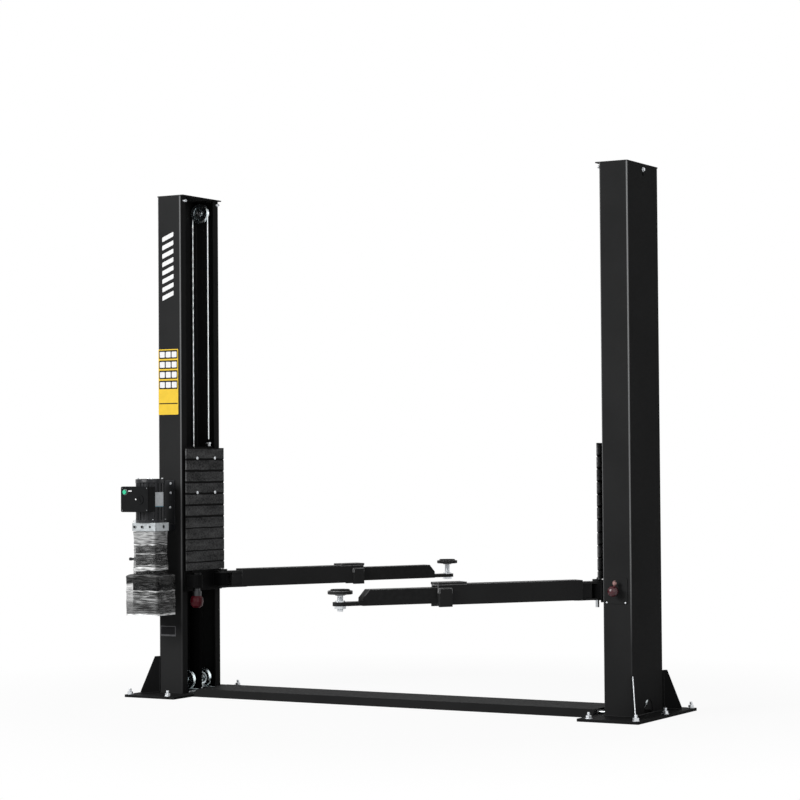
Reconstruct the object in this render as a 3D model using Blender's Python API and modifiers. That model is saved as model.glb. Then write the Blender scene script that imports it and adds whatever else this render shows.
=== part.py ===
# Two post car lift: two posts with sliding carriages, swing arms, equalizer cables and a power unit.
# Metres, +Z up, +X towards the right post, +Y to the rear. The origin is on the floor, midway
# between the posts. One side is laid out for the right post, and the left side is the same side
# turned half a turn about +Z.

import bpy
import bmesh
from math import ceil, cos, hypot, pi, radians, sin
from mathutils import Matrix, Vector

# Clearances
GAP = 0.0003            # between pieces that touch
SHOE_GAP = 0.0006       # between a slider shoe and the post
PIN_GAP = 0.0003        # round a rod or axle
PIVOT_GAP = 0.0006      # round an arm's pin, and over and under its boss
LIP_CLEARANCE = 0.006   # between the carriage and the front of the lips

# Posts
HEIGHT = 2.82
CLEAR_WIDTH = 2.598     # between the two posts' openings
POST_DEPTH = 0.158
POST_WIDTH = 0.382
POST_WALL = 0.006
POST_LIP = 0.052
POST_BEND = 0.010
ARCH_WIDTH = 0.11
ARCH_TOP = 0.088
ARCH_OFFSET = 0.005

# Base plates, gussets and top plates
BASE_THICKNESS = 0.014
BASE_OUTSIDE = 0.112    # beyond the post's web
BASE_INSIDE = 0.0685    # beyond the post's opening
BASE_LENGTH = 0.744
BASE_CORNER = 0.008
ANCHOR_RADIUS = 0.010
ANCHOR_INSET = 0.024            # from the plate's ends and outer edge
ANCHOR_FROM_INSIDE = 0.058      # from the plate's inner edge
ANCHOR_OFFSET = 0.015           # of the single one behind the post
GUSSET_LENGTH = 0.117
GUSSET_HEIGHT = 0.206
GUSSET_TOP = 0.030
GUSSET_TOE = 0.012
GUSSET_THICKNESS = 0.008
TOP_THICKNESS = 0.006
TOP_OVERHANG = 0.0194

# Floor cover
COVER_TOP_WIDTH = 0.30
COVER_FOOT_WIDTH = 0.38
COVER_HEIGHT = 0.040
COVER_THICKNESS = 0.003
RIB_THICKNESS = 0.030
RIB_INSET = 0.33          # of the end ribs, from the cover's ends
RIB_NOTCH = 0.024

# Equalizer cables and their sheaves
CABLE_RADIUS = 0.0045
SHEAVE_PITCH_RADIUS = 0.052
SHEAVE_RADIUS = 0.0555
SHEAVE_WIDTH = 0.022
SHEAVE_HUB_RADIUS = 0.018
SHEAVE_RIM_RADIUS = 0.038
SHEAVE_WEB_WIDTH = 0.012
GROOVE_RADIUS = 0.0466
GROOVE_HALF_BOTTOM = 0.0052
GROOVE_HALF_TOP = 0.0082
AXLE_RADIUS = 0.010
AXLE_HEAD_RADIUS = 0.0135
AXLE_HEAD = 0.004
SHEAVE_STEPS = 16
AXLE_STEPS = 12
SHEAVE_DEPTH_PLACE = 0.081      # from the post's opening to the sheaves' axes
TOP_SHEAVE_DROP = 0.075         # from the top of the lift to the axis
FLOOR_SHEAVE_HEIGHT = 0.077
NEAR_CABLE = -0.120             # the cable that hangs this side's carriage
FAR_CABLE = 0.035               # the cable that comes from the other side
EAR_THICKNESS = 0.010
EAR_CLEARANCE = 0.0015
EAR_HALF_LENGTH = 0.030
EAR_PAST_AXLE = 0.025
BRACKET_CROWN = 0.008
BRACKET_FOOT = 0.004
CABLE_STEP = radians(15)
CABLE_LEAD = 0.020              # straight cable before and after the sheaves

# Lifting cylinders
BARREL_RADIUS = 0.035
BARREL_BORE = 0.0275
BARREL_FLOOR = 0.020
BARREL_TOP = 1.05
GLAND_LENGTH = 0.030
ROD_RADIUS = 0.022
PISTON_RADIUS = 0.027
PISTON_LENGTH = 0.040
PISTON_BOTTOM = 0.26
CROSSHEAD_BOTTOM = 1.285
CROSSHEAD_THICKNESS = 0.020
CROSSHEAD_EAR = 0.006
CROSSHEAD_HALF_WIDTH = 0.022
CROSSHEAD_HALF_LENGTH = 0.026
ROLLER_RADIUS = 0.028
ROLLER_RISE = 0.032
CYLINDER_OFFSET = -0.0425
CYLINDER_STEPS = 16

# Carriages
CARRIAGE_BOTTOM = 0.62
CARRIAGE_TOP = 1.40
CARRIAGE_DEPTH = 0.100
CARRIAGE_HALF_WIDTH = 0.175
CARRIAGE_WALL = 0.010
CARRIAGE_SETBACK = 0.007        # behind the back of the lips
SHOE_LENGTH = 0.10
SHOE_WIDTH = 0.040
SHOE_DEPTH = 0.042
SHOE_CHAMFER = 0.006
NECK_HALF_WIDTH = 0.120
BACK_PLATE_BOTTOM = 0.585
BACK_PLATE_TOP = 0.7015
BACK_PLATE_HALF_WIDTH = 0.185
BACK_PLATE_THICKNESS = 0.009
BOSS_RADIUS = 0.034             # of the blocks that carry the arms' pins
LUG_THICKNESS = 0.015
LUG_HALF_WIDTH = 0.020
LUG_OVERHANG = 0.010
LUG_PROUD = 0.003               # of the carriage's top and bottom edges
WELD_STEP = 0.002               # from one welded plate's edge to the next
STUD_RADIUS = 0.008
STUD_LENGTH = 0.040

# Guard panels on the carriages
PANEL_STANDOFF = 0.031          # from the post's opening to the panel's face
PANEL_THICKNESS = 0.008
PANEL_HALF_WIDTH = 0.185
PANEL_TOP = 1.392
PANEL_GROOVES = 10
PANEL_GROOVE_FIRST = 1.327
PANEL_GROOVE_SPACING = 0.0645
PANEL_GROOVE_WIDTH = 0.006
PANEL_GROOVE_DEPTH = 0.003

# Swing arms, laid out along +X from their pins
PIVOT_STANDOFF = 0.059          # from the post's opening to the arms' pins
PIVOT_Y = 0.130
PIN_RADIUS = 0.019
PIN_HEAD_RADIUS = 0.025
PIN_HEAD = 0.010
PIN_REACH = 0.003               # below the fork
PIN_TIP_RADIUS = 0.0095
PIN_TIPS = {"right": 0.035, "left": 0.0}
PIN_STEPS = 20
CAP_RADIUS = 0.037
CAP_BOTTOM = 0.494
CAP_TOP = 0.560
COLLAR_RADIUS = 0.026
COLLAR_TOP = 0.587
ARM_HEADINGS = {"right": radians(-126.1), "left": radians(-118.7)}
ARM_BOTTOM = 0.597
ARM_HEIGHT = 0.102
ARM_WIDTH = 0.080
ARM_WALL = 0.008
ARM_START = 0.105
ARM_END = 0.910
FORK_THICKNESS = 0.010
FORK_PROUD = 0.002              # below the tube's bottom
FORK_TOP = 0.689
FORK_RADIUS = 0.034
FORK_SHOULDER = 0.095
FORK_HALF_WIDTH = 0.036
FORK_END = 0.145
FORK_TAPER = 0.015
FORK_WEB_START = 0.046          # between the fork's plates, clear of the pivot's block
FORK_WEB_HALF_WIDTH = 0.028
SLEEVE_LENGTH = 0.155
SLEEVE_THICKNESS = 0.010
SLEEVE_OVERHANG = 0.004
ARM_LUG_BACK = 0.072            # from the tube's end
ARM_LUG_LENGTH = 0.069
ARM_LUG_DEPTH = 0.012
ARM_LUG_DROP = 0.009            # below the tube
ARM_LUG_TOP = 0.020             # below the tube's top
ARM_WELD = 0.003                # how far welded plates reach into the tube
INNER_LENGTH = 0.830
INNER_HEIGHT = 0.079
INNER_WIDTH = 0.060
INNER_WALL = 0.006
INNER_SLOPE = 0.035
INNER_NOSE = 0.038              # height of the upright end under the slope
PAD_REACHES = {"right": 1.415, "left": 1.520}   # from the pin to the pad's screw
TAB_LENGTH = 0.108              # from the inner tube's end to the pad's screw
TAB_ROOT = 0.050
TAB_THICKNESS = 0.021
TAB_HALF_WIDTH = 0.028
TAB_END_RADIUS = 0.037
FLANGE_RADIUS = 0.024
FLANGE_HEIGHT = 0.007
NUT_RADIUS = 0.028
NUT_HEIGHT = 0.0135
SCREW_RADIUS = 0.0152
SCREW_LENGTH = 0.084            # below the saucer
HUB_RADIUS = 0.024
HUB_DROP = 0.006
SAUCER_RADIUS = 0.061
SAUCER_HEIGHT = 0.018
SAUCER_FLOOR = 0.008
SAUCER_EDGE = 0.003
PAD_RADIUS = 0.0475
PAD_TOPS = {"right": 0.689, "left": 0.714}
PAD_RISE = 0.007                # above the saucer's rim
PAD_GROOVE = 0.004
PAD_RINGS = (0.016, 0.022, 0.032, 0.038)

# Lock covers and release knobs on the posts
LOCK_COVER_WIDTH = 0.122
LOCK_COVER_BOTTOM = 0.580
LOCK_COVER_HEIGHT = 0.130
LOCK_COVER_THICKNESS = 0.003
LOCK_COVER_PLACE = 0.0765       # from the post's opening to the cover's middle
KNOB_RADIUS = 0.028
KNOB_STEM_RADIUS = 0.008
KNOB_STEM_LENGTH = 0.018
KNOB_HEIGHT = 0.645

# Power unit on the left post's front flange
UNIT_PLACE = 0.099              # from the post's opening to the unit's axis
UNIT_Y = -0.350
MOTOR_RADIUS = 0.081
MOTOR_TOP = 1.219
MOTOR_FLANGE_RADIUS = 0.086
MOTOR_FLANGE_HEIGHT = 0.016
MOTOR_FINS = 20
MOTOR_FIN_DEPTH = 0.005
BLOCK_WIDTH = 0.160
BLOCK_DEPTH = 0.130
BLOCK_BOTTOM = 0.930
BLOCK_TOP = 0.976
PORT_RADIUS = 0.007
PORT_DEPTH = 0.010
PORT_PLACE = 0.043              # right of the unit's axis
PLUG_RADIUS = 0.010
PLUG_PROUD = 0.004
PLUG_PLACES = (-0.061, -0.009)
TANK_UPPER = (0.150, 0.130)
TANK_LOWER = (0.220, 0.180)
TANK_STEP = 0.692
TANK_BOTTOM = 0.462
TANK_CORNER = 0.018
TANK_STUB_RADIUS = 0.009
TANK_STUB_LENGTH = 0.035
TANK_STUB_HEIGHT = 0.773
UNIT_BRACKET_WIDTH = 0.110
UNIT_BRACKET_THICKNESS = 0.006
UNIT_BRACKET_TOP = 1.210
UNIT_BRACKET_ARM = 0.035
CONTROL_WIDTH = 0.185
CONTROL_DEPTH = 0.068
CONTROL_BOTTOM = 1.038
CONTROL_HEIGHT = 0.140
CONTROL_CORNER = 0.006
BUTTON_RADIUS = 0.012
BUTTON_LENGTH = 0.012
BUTTON_WELL = 0.006
BUTTON_FROM_LEFT = 0.030
BUTTON_FROM_TOP = 0.030

# Places that follow from the sizes
INNER = CLEAR_WIDTH / 2
OUTER = INNER + POST_DEPTH
HALF = POST_WIDTH / 2
POST_BOTTOM = BASE_THICKNESS + GAP
TOP_BOTTOM = HEIGHT - TOP_THICKNESS
LIP_BACK = INNER + POST_WALL
SHEAVE_X = INNER + SHEAVE_DEPTH_PLACE
TOP_SHEAVE_Z = HEIGHT - TOP_SHEAVE_DROP
CABLE_FRONT = SHEAVE_X - SHEAVE_PITCH_RADIUS
CABLE_BACK = SHEAVE_X + SHEAVE_PITCH_RADIUS
CABLE_FLOOR = FLOOR_SHEAVE_HEIGHT - SHEAVE_PITCH_RADIUS
EAR_INNER = SHEAVE_WIDTH / 2 + EAR_CLEARANCE
EAR_OUTER = EAR_INNER + EAR_THICKNESS
PORT_HEIGHT = (BLOCK_BOTTOM + BLOCK_TOP) / 2
CYLINDER_X = INNER + 0.071
CARRIAGE_FRONT = LIP_BACK + CARRIAGE_SETBACK
LOW_LUG_BOTTOM = CARRIAGE_BOTTOM - LUG_PROUD
HIGH_LUG_TOP = CARRIAGE_TOP + LUG_PROUD
BACK_PLATE_BACK = INNER - LIP_CLEARANCE
BACK_PLATE_FRONT = BACK_PLATE_BACK - BACK_PLATE_THICKNESS
BACK_PLATE_MIDDLE = BACK_PLATE_BACK - BACK_PLATE_THICKNESS / 2
PANEL_FACE = INNER - PANEL_STANDOFF
PANEL_BACK = PANEL_FACE + PANEL_THICKNESS
PANEL_BOTTOM = BACK_PLATE_TOP + GAP
PIVOT_X = INNER - PIVOT_STANDOFF
ARM_TOP = ARM_BOTTOM + ARM_HEIGHT
FORK_LOW = (ARM_BOTTOM - FORK_PROUD, ARM_BOTTOM - FORK_PROUD + FORK_THICKNESS)
FORK_HIGH = (FORK_TOP - FORK_THICKNESS, FORK_TOP)
BOSS_BOTTOM = FORK_LOW[1] + PIVOT_GAP
BOSS_TOP = FORK_HIGH[0] - PIVOT_GAP
INNER_BOTTOM = ARM_BOTTOM + ARM_WALL + GAP
TAB_TOP = INNER_BOTTOM + TAB_THICKNESS
UNIT_X = -INNER - UNIT_PLACE
SIDES = {"right": 0.0, "left": pi}

for leftover in list(bpy.data.objects):
    bpy.data.objects.remove(leftover)

PARTS = bpy.data.collections.new("two_post_car_lift")
CUTTERS = bpy.data.collections.new("cutters")
bpy.context.scene.collection.children.link(PARTS)
bpy.context.scene.collection.children.link(CUTTERS)


def make_material(name, color, roughness, metallic):
    material = bpy.data.materials.new(name)
    material.use_nodes = True
    shader = material.node_tree.nodes["Principled BSDF"]
    shader.inputs["Base Color"].default_value = (*color, 1.0)
    shader.inputs["Roughness"].default_value = roughness
    shader.inputs["Metallic"].default_value = metallic
    material.diffuse_color = (*color, 1.0)
    return material


GREY_PAINT = make_material("grey_paint", (0.075, 0.080, 0.082), 0.42, 0.0)
BLACK_PAINT = make_material("black_paint", (0.012, 0.013, 0.014), 0.45, 0.0)
ZINC = make_material("zinc", (0.62, 0.63, 0.64), 0.35, 1.0)
STEEL_CABLE = make_material("steel_cable", (0.45, 0.45, 0.46), 0.45, 1.0)
CHROME = make_material("chrome", (0.80, 0.80, 0.82), 0.12, 1.0)
BLACK_RUBBER = make_material("black_rubber", (0.022, 0.023, 0.024), 0.70, 0.0)
ALUMINIUM = make_material("aluminium", (0.72, 0.73, 0.74), 0.40, 1.0)
RED_PLASTIC = make_material("red_plastic", (0.30, 0.02, 0.03), 0.40, 0.0)
GREEN_PLASTIC = make_material("green_plastic", (0.02, 0.45, 0.25), 0.35, 0.0)
TANK_FILM = make_material("tank_film", (0.30, 0.31, 0.32), 0.35, 0.0)


def mesh_from_bmesh(name, bm):
    bmesh.ops.recalc_face_normals(bm, faces=bm.faces)
    mesh = bpy.data.meshes.new(name)
    bm.to_mesh(mesh)
    bm.free()
    return mesh


def box_mesh(name, x, y, z):
    """A box between the given (low, high) pairs."""
    low = Vector((x[0], y[0], z[0]))
    high = Vector((x[1], y[1], z[1]))
    bm = bmesh.new()
    placed = Matrix.Translation((low + high) / 2) @ Matrix.Diagonal((*(high - low), 1.0))
    bmesh.ops.create_cube(bm, size=1.0, matrix=placed)
    return mesh_from_bmesh(name, bm)


def rod_mesh(name, radius, start, end, steps=16):
    """A round bar from start to end."""
    start, end = Vector(start), Vector(end)
    direction = end - start
    placed = Matrix.Translation((start + end) / 2) @ direction.to_track_quat("Z", "Y").to_matrix().to_4x4()
    bm = bmesh.new()
    bmesh.ops.create_cone(bm, cap_ends=True, segments=steps, radius1=radius, radius2=radius,
                          depth=direction.length, matrix=placed)
    return mesh_from_bmesh(name, bm)


def rounded(corners, step=radians(30)):
    """Outline points for (x, y, radius) corners."""
    points = []
    for index, (x, y, radius) in enumerate(corners):
        here = Vector((x, y))
        if radius == 0:
            points.append(tuple(here))
            continue
        before = (Vector(corners[index - 1][:2]) - here).normalized()
        after = (Vector(corners[(index + 1) % len(corners)][:2]) - here).normalized()
        half_angle = before.angle(after) / 2
        reach = radius / abs(sin(half_angle)) * cos(half_angle)
        centre = here + (before + after).normalized() * radius / abs(sin(half_angle))
        first = here + before * reach - centre
        last = here + after * reach - centre
        swept = first.angle_signed(last)
        count = max(1, ceil(abs(swept) / step - 1e-6))
        for number in range(count + 1):
            points.append(tuple(centre + Matrix.Rotation(-swept * number / count, 2) @ first))
    return points


def circle(x, y, radius, steps=12):
    return [(x + radius * cos(2 * pi * n / steps), y + radius * sin(2 * pi * n / steps))
            for n in range(steps)]


def outline_mesh(name, loops, low, high, placed=None):
    """Flat outlines, filled and given thickness from low to high along their own z."""
    curve = bpy.data.curves.new(name, "CURVE")
    curve.dimensions = "2D"
    curve.fill_mode = "BOTH"
    curve.extrude = (high - low) / 2
    for loop in loops:
        spline = curve.splines.new("POLY")
        spline.points.add(len(loop) - 1)
        for point, (x, y) in zip(spline.points, loop):
            point.co = (x, y, 0.0, 1.0)
        spline.use_cyclic_u = True
    holder = bpy.data.objects.new(name, curve)
    PARTS.objects.link(holder)
    bpy.context.view_layer.update()
    mesh = bpy.data.meshes.new_from_object(holder.evaluated_get(bpy.context.evaluated_depsgraph_get()))
    bpy.data.objects.remove(holder)
    bpy.data.curves.remove(curve)
    bm = bmesh.new()
    bm.from_mesh(mesh)
    bpy.data.meshes.remove(mesh)
    bmesh.ops.remove_doubles(bm, verts=bm.verts, dist=0.00001)
    bmesh.ops.transform(bm, matrix=Matrix.Translation((0, 0, (low + high) / 2)), verts=bm.verts)
    if placed:
        bmesh.ops.transform(bm, matrix=placed, verts=bm.verts)
    return mesh_from_bmesh(name, bm)


def profile_mesh(name, profile, closed):
    """The edges of a turned shape's profile, in the XZ plane."""
    bm = bmesh.new()
    corners = [bm.verts.new((radius, 0.0, z)) for radius, z in profile]
    for first, second in zip(corners, corners[1:]):
        bm.edges.new((first, second))
    if closed:
        bm.edges.new((corners[-1], corners[0]))
    mesh = bpy.data.meshes.new(name)
    bm.to_mesh(mesh)
    bm.free()
    return mesh


def turn_profile(piece, steps):
    screw = piece.modifiers.new("turned", "SCREW")
    screw.axis = "Z"
    screw.steps = steps
    screw.render_steps = steps
    screw.use_merge_vertices = True
    screw.merge_threshold = 0.00001


def add_piece(name, mesh, material, parent=None, location=(0, 0, 0), joined=(), cuts=()):
    """One solid of the lift, with the meshes that are joined to it and cut from it."""
    piece = bpy.data.objects.new(name, mesh)
    PARTS.objects.link(piece)
    piece.parent = parent
    piece.location = location
    if not mesh.materials:
        mesh.materials.append(material)
    for operation, tools in (("UNION", joined), ("DIFFERENCE", cuts)):
        for number, tool in enumerate(tools, 1):
            cutter = bpy.data.objects.new(f"{name}_{operation.lower()}_{number}", tool)
            CUTTERS.objects.link(cutter)
            cutter.parent = piece
            cutter.display_type = "WIRE"
            cutter.hide_render = True
            boolean = piece.modifiers.new(f"{operation.lower()} {number}", "BOOLEAN")
            boolean.operation = operation
            boolean.solver = "EXACT"
            boolean.object = cutter
    return piece


def add_empty(name, parent=None, location=(0, 0, 0), turn=0.0):
    empty = bpy.data.objects.new(name, None)
    PARTS.objects.link(empty)
    empty.parent = parent
    empty.location = location
    empty.rotation_euler.z = turn
    return empty


# Outlines drawn in the YZ plane are pushed along X, and those in the XZ plane along -Y.
YZ_PLANE = Matrix(((0, 0, 1, 0), (1, 0, 0, 0), (0, 1, 0, 0), (0, 0, 0, 1)))
XZ_PLANE = Matrix(((1, 0, 0, 0), (0, 0, -1, 0), (0, 1, 0, 0), (0, 0, 0, 1)))


def post_meshes():
    inside = POST_BEND - POST_WALL
    section = rounded([
        (INNER, -HALF + POST_LIP, 0), (INNER, -HALF, POST_BEND), (OUTER, -HALF, POST_BEND),
        (OUTER, HALF, POST_BEND), (INNER, HALF, POST_BEND), (INNER, HALF - POST_LIP, 0),
        (LIP_BACK, HALF - POST_LIP, 0), (LIP_BACK, HALF - POST_WALL, inside),
        (OUTER - POST_WALL, HALF - POST_WALL, inside), (OUTER - POST_WALL, -HALF + POST_WALL, inside),
        (LIP_BACK, -HALF + POST_WALL, inside), (LIP_BACK, -HALF + POST_LIP, 0)])
    post = outline_mesh("post", [section], POST_BOTTOM, TOP_BOTTOM - GAP)
    low, high = ARCH_OFFSET - ARCH_WIDTH / 2, ARCH_OFFSET + ARCH_WIDTH / 2
    arch = outline_mesh("arch", [rounded([
        (low, 0, 0), (high, 0, 0), (high, ARCH_TOP, ARCH_WIDTH / 2.2), (low, ARCH_TOP, ARCH_WIDTH / 2.2)])],
        OUTER - 2 * POST_WALL, OUTER + POST_WALL, YZ_PLANE)
    return post, [arch]


def base_meshes():
    low, high = INNER - BASE_INSIDE, OUTER + BASE_OUTSIDE
    end = BASE_LENGTH / 2
    plate_edge = rounded([(low, -end, BASE_CORNER), (high, -end, BASE_CORNER),
                          (high, end, BASE_CORNER), (low, end, BASE_CORNER)])
    anchors = [(x, y) for x in (low + ANCHOR_FROM_INSIDE, high - ANCHOR_INSET)
               for y in (-end + ANCHOR_INSET, end - ANCHOR_INSET)]
    anchors.append((high - ANCHOR_INSET, ANCHOR_OFFSET))
    holes = [circle(x, y, ANCHOR_RADIUS) for x, y in anchors]
    plate = outline_mesh("base_plate", [plate_edge, *holes], 0.0, BASE_THICKNESS)
    gussets = []
    for side in (-1, 1):
        bend_centre = Vector((OUTER - POST_BEND, side * (HALF - POST_BEND), 0))
        plate_corner = Vector((high, side * end, 0))
        run = (plate_corner - bend_centre).normalized()
        across = run.cross(Vector((0, 0, 1)))
        start = bend_centre + run * (POST_BEND + GAP)
        placed = Matrix.Translation(start) @ Matrix((run, (0, 0, 1), across)).transposed().to_4x4()
        foot = BASE_THICKNESS / 2
        shape = [(0, foot), (GUSSET_LENGTH, foot), (GUSSET_LENGTH, BASE_THICKNESS + GUSSET_TOE),
                 (GUSSET_TOP, BASE_THICKNESS + GUSSET_HEIGHT), (0, BASE_THICKNESS + GUSSET_HEIGHT)]
        gussets.append(outline_mesh("gusset", [shape], -GUSSET_THICKNESS / 2, GUSSET_THICKNESS / 2, placed))
    return plate, gussets


def top_plate_mesh():
    return box_mesh("top_plate", (INNER - TOP_OVERHANG, OUTER), (-HALF, HALF), (TOP_BOTTOM, HEIGHT))


def cable_y(x):
    """Where the cable that hangs the right carriage crosses the floor."""
    share = (SHEAVE_X - x) / (2 * SHEAVE_X)
    return NEAR_CABLE + (-FAR_CABLE - NEAR_CABLE) * share


def cover_meshes():
    top, foot, slant = COVER_TOP_WIDTH / 2, COVER_FOOT_WIDTH / 2, COVER_THICKNESS
    inner_z = COVER_HEIGHT - COVER_THICKNESS
    slope = (foot - top) / COVER_HEIGHT
    wide = slant * hypot(1, slope)
    inner_top = top - (wide - slant * slope)
    inner_foot = inner_top + slope * inner_z
    section = [(-foot, 0), (-top, COVER_HEIGHT), (top, COVER_HEIGHT), (foot, 0),
               (inner_foot, 0), (inner_top, inner_z), (-inner_top, inner_z), (-inner_foot, 0)]
    end = INNER - BASE_INSIDE - GAP
    cover = outline_mesh("cover", [section], -end, end, YZ_PLANE)
    rib_section = [(-inner_foot - wide / 2, 0), (inner_foot + wide / 2, 0),
                   (inner_top + wide / 2, inner_z + slant / 2), (-inner_top - wide / 2, inner_z + slant / 2)]
    ribs, notches = [], []
    for x in (RIB_INSET - end, 0.0, end - RIB_INSET):
        low, high = x - RIB_THICKNESS / 2, x + RIB_THICKNESS / 2
        ribs.append(outline_mesh("rib", [rib_section], low, high, YZ_PLANE))
        for y in (cable_y(x), -cable_y(-x)):
            notches.append(box_mesh("notch", (low - RIB_THICKNESS, high + RIB_THICKNESS),
                                    (y - RIB_NOTCH / 2, y + RIB_NOTCH / 2),
                                    (-BASE_THICKNESS, CABLE_FLOOR + RIB_NOTCH / 3)))
    return cover, ribs, notches


def sheave_mesh():
    edge, web = SHEAVE_WIDTH / 2, SHEAVE_WEB_WIDTH / 2
    bore = AXLE_RADIUS + PIN_GAP
    slope = 0.002
    upper = [(bore, edge), (SHEAVE_HUB_RADIUS, edge), (SHEAVE_HUB_RADIUS + slope, web),
             (SHEAVE_RIM_RADIUS - slope, web), (SHEAVE_RIM_RADIUS, edge), (SHEAVE_RADIUS, edge),
             (SHEAVE_RADIUS, GROOVE_HALF_TOP), (GROOVE_RADIUS, GROOVE_HALF_BOTTOM)]
    lower = [(radius, -z) for radius, z in reversed(upper)]
    return profile_mesh("sheave", upper + lower, True)


def axle_meshes(y, z):
    """A stub axle that stands out from its ear, with a head that keeps the sheave on."""
    head = y + SHEAVE_WIDTH / 2 + EAR_CLEARANCE
    axle = rod_mesh("axle", AXLE_RADIUS, (SHEAVE_X, y - EAR_OUTER - EAR_CLEARANCE, z),
                    (SHEAVE_X, head + AXLE_HEAD / 2, z), AXLE_STEPS)
    return [axle, rod_mesh("axle_head", AXLE_HEAD_RADIUS, (SHEAVE_X, head, z),
                           (SHEAVE_X, head + AXLE_HEAD, z), AXLE_STEPS)]


def top_bracket_meshes():
    """A crown under the top plate, with one ear beside the sheave."""
    low, crown, top = TOP_SHEAVE_Z - EAR_PAST_AXLE, TOP_BOTTOM - GAP - BRACKET_CROWN, TOP_BOTTOM - GAP
    outside, inside = NEAR_CABLE - EAR_OUTER, NEAR_CABLE - EAR_INNER
    section = [(outside, top), (outside, low), (inside, low), (inside, crown),
               (NEAR_CABLE + EAR_INNER, crown), (NEAR_CABLE + EAR_INNER, top)]
    bracket = outline_mesh("top_bracket", [section], SHEAVE_X - EAR_HALF_LENGTH,
                           SHEAVE_X + EAR_HALF_LENGTH, YZ_PLANE)
    return bracket, axle_meshes(NEAR_CABLE, TOP_SHEAVE_Z)


def floor_bracket_meshes():
    """A foot plate with one ear beside each floor sheave."""
    foot, floor = POST_BOTTOM, POST_BOTTOM + BRACKET_FOOT
    top = FLOOR_SHEAVE_HEIGHT + EAR_PAST_AXLE
    near, far = [(y - EAR_OUTER, y - EAR_INNER) for y in (NEAR_CABLE, FAR_CABLE)]
    section = [(near[0], foot), (near[0], top), (near[1], top), (near[1], floor), (far[0], floor),
               (far[0], top), (far[1], top), (far[1], floor), (FAR_CABLE + EAR_INNER, floor),
               (FAR_CABLE + EAR_INNER, foot)]
    bracket = outline_mesh("floor_bracket", [section], SHEAVE_X - EAR_HALF_LENGTH,
                           SHEAVE_X + EAR_HALF_LENGTH, YZ_PLANE)
    return bracket, [mesh for y in (NEAR_CABLE, FAR_CABLE) for mesh in axle_meshes(y, FLOOR_SHEAVE_HEIGHT)]


def arc(x, z, start, end, y):
    """Cable points on a sheave's pitch circle, in the XZ plane."""
    count = round(abs(end - start) / CABLE_STEP)
    angles = [start + (end - start) * n / count for n in range(count + 1)]
    return [(x + SHEAVE_PITCH_RADIUS * cos(a), y, z + SHEAVE_PITCH_RADIUS * sin(a)) for a in angles]


def cable_path():
    """Over the top sheave, down the web, under the floor sheave and across to the other post."""
    over = arc(SHEAVE_X, TOP_SHEAVE_Z, pi, 0, NEAR_CABLE)
    under = arc(SHEAVE_X, FLOOR_SHEAVE_HEIGHT, 0, -pi / 2, NEAR_CABLE)
    rising = arc(-SHEAVE_X, FLOOR_SHEAVE_HEIGHT, -pi / 2, -pi, -FAR_CABLE)
    start = (CABLE_FRONT, NEAR_CABLE, TOP_SHEAVE_Z - CABLE_LEAD)
    end = (-CABLE_BACK, -FAR_CABLE, FLOOR_SHEAVE_HEIGHT + CABLE_LEAD)
    return [start, *over, *under, *rising, end]


def add_cable(name, path, parent):
    curve = bpy.data.curves.new(name, "CURVE")
    curve.dimensions = "3D"
    curve.bevel_depth = CABLE_RADIUS
    curve.bevel_resolution = 2
    curve.use_fill_caps = True
    spline = curve.splines.new("POLY")
    spline.points.add(len(path) - 1)
    for point, place in zip(spline.points, path):
        point.co = (*place, 1.0)
    cable = bpy.data.objects.new(name, curve)
    PARTS.objects.link(cable)
    cable.parent = parent
    curve.materials.append(STEEL_CABLE)
    return cable


def barrel_mesh():
    bottom = POST_BOTTOM + BRACKET_FOOT + GAP
    gland = ROD_RADIUS + PIN_GAP
    return profile_mesh("barrel", [
        (0, bottom + BARREL_FLOOR), (BARREL_BORE, bottom + BARREL_FLOOR),
        (BARREL_BORE, BARREL_TOP - GLAND_LENGTH), (gland, BARREL_TOP - GLAND_LENGTH),
        (gland, BARREL_TOP), (BARREL_RADIUS, BARREL_TOP), (BARREL_RADIUS, bottom), (0, bottom)], False)


def rod_meshes():
    """A piston rod with the crosshead and chain roller on its end."""
    shaft = rod_mesh("rod", ROD_RADIUS, (0, 0, PISTON_BOTTOM),
                     (0, 0, CROSSHEAD_BOTTOM + CROSSHEAD_THICKNESS / 4), CYLINDER_STEPS)
    piston = rod_mesh("piston", PISTON_RADIUS, (0, 0, PISTON_BOTTOM - 0.001),
                      (0, 0, PISTON_BOTTOM + PISTON_LENGTH), CYLINDER_STEPS)
    width, length = CROSSHEAD_HALF_WIDTH, CROSSHEAD_HALF_LENGTH
    floor = CROSSHEAD_BOTTOM + CROSSHEAD_THICKNESS
    axis = floor + ROLLER_RISE
    top = axis + length / 2
    inner = width - CROSSHEAD_EAR
    head = outline_mesh("crosshead", [[
        (-width, CROSSHEAD_BOTTOM), (width, CROSSHEAD_BOTTOM), (width, top), (inner, top),
        (inner, floor), (-inner, floor), (-inner, top), (-width, top)]], -length, length, YZ_PLANE)
    pin = rod_mesh("roller_pin", AXLE_RADIUS, (0, -width - 0.003, axis), (0, width + 0.003, axis))
    roller = rod_mesh("roller", ROLLER_RADIUS, (0, -inner + 0.002, axis), (0, inner - 0.002, axis), 20)
    return shaft, [piston, head, pin, roller]


def shoe_mesh(side, low):
    """A slider shoe that runs in a corner of the post."""
    front, flank = LIP_BACK + SHOE_GAP, HALF - POST_WALL - SHOE_GAP
    corners = [(front, flank - SHOE_WIDTH), (front, flank - SHOE_CHAMFER), (front + SHOE_CHAMFER, flank),
               (front + SHOE_DEPTH, flank), (front + SHOE_DEPTH, flank - SHOE_WIDTH)]
    corners = [(x, side * y) for x, y in corners]
    return outline_mesh("shoe", [corners], low, low + SHOE_LENGTH)


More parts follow.
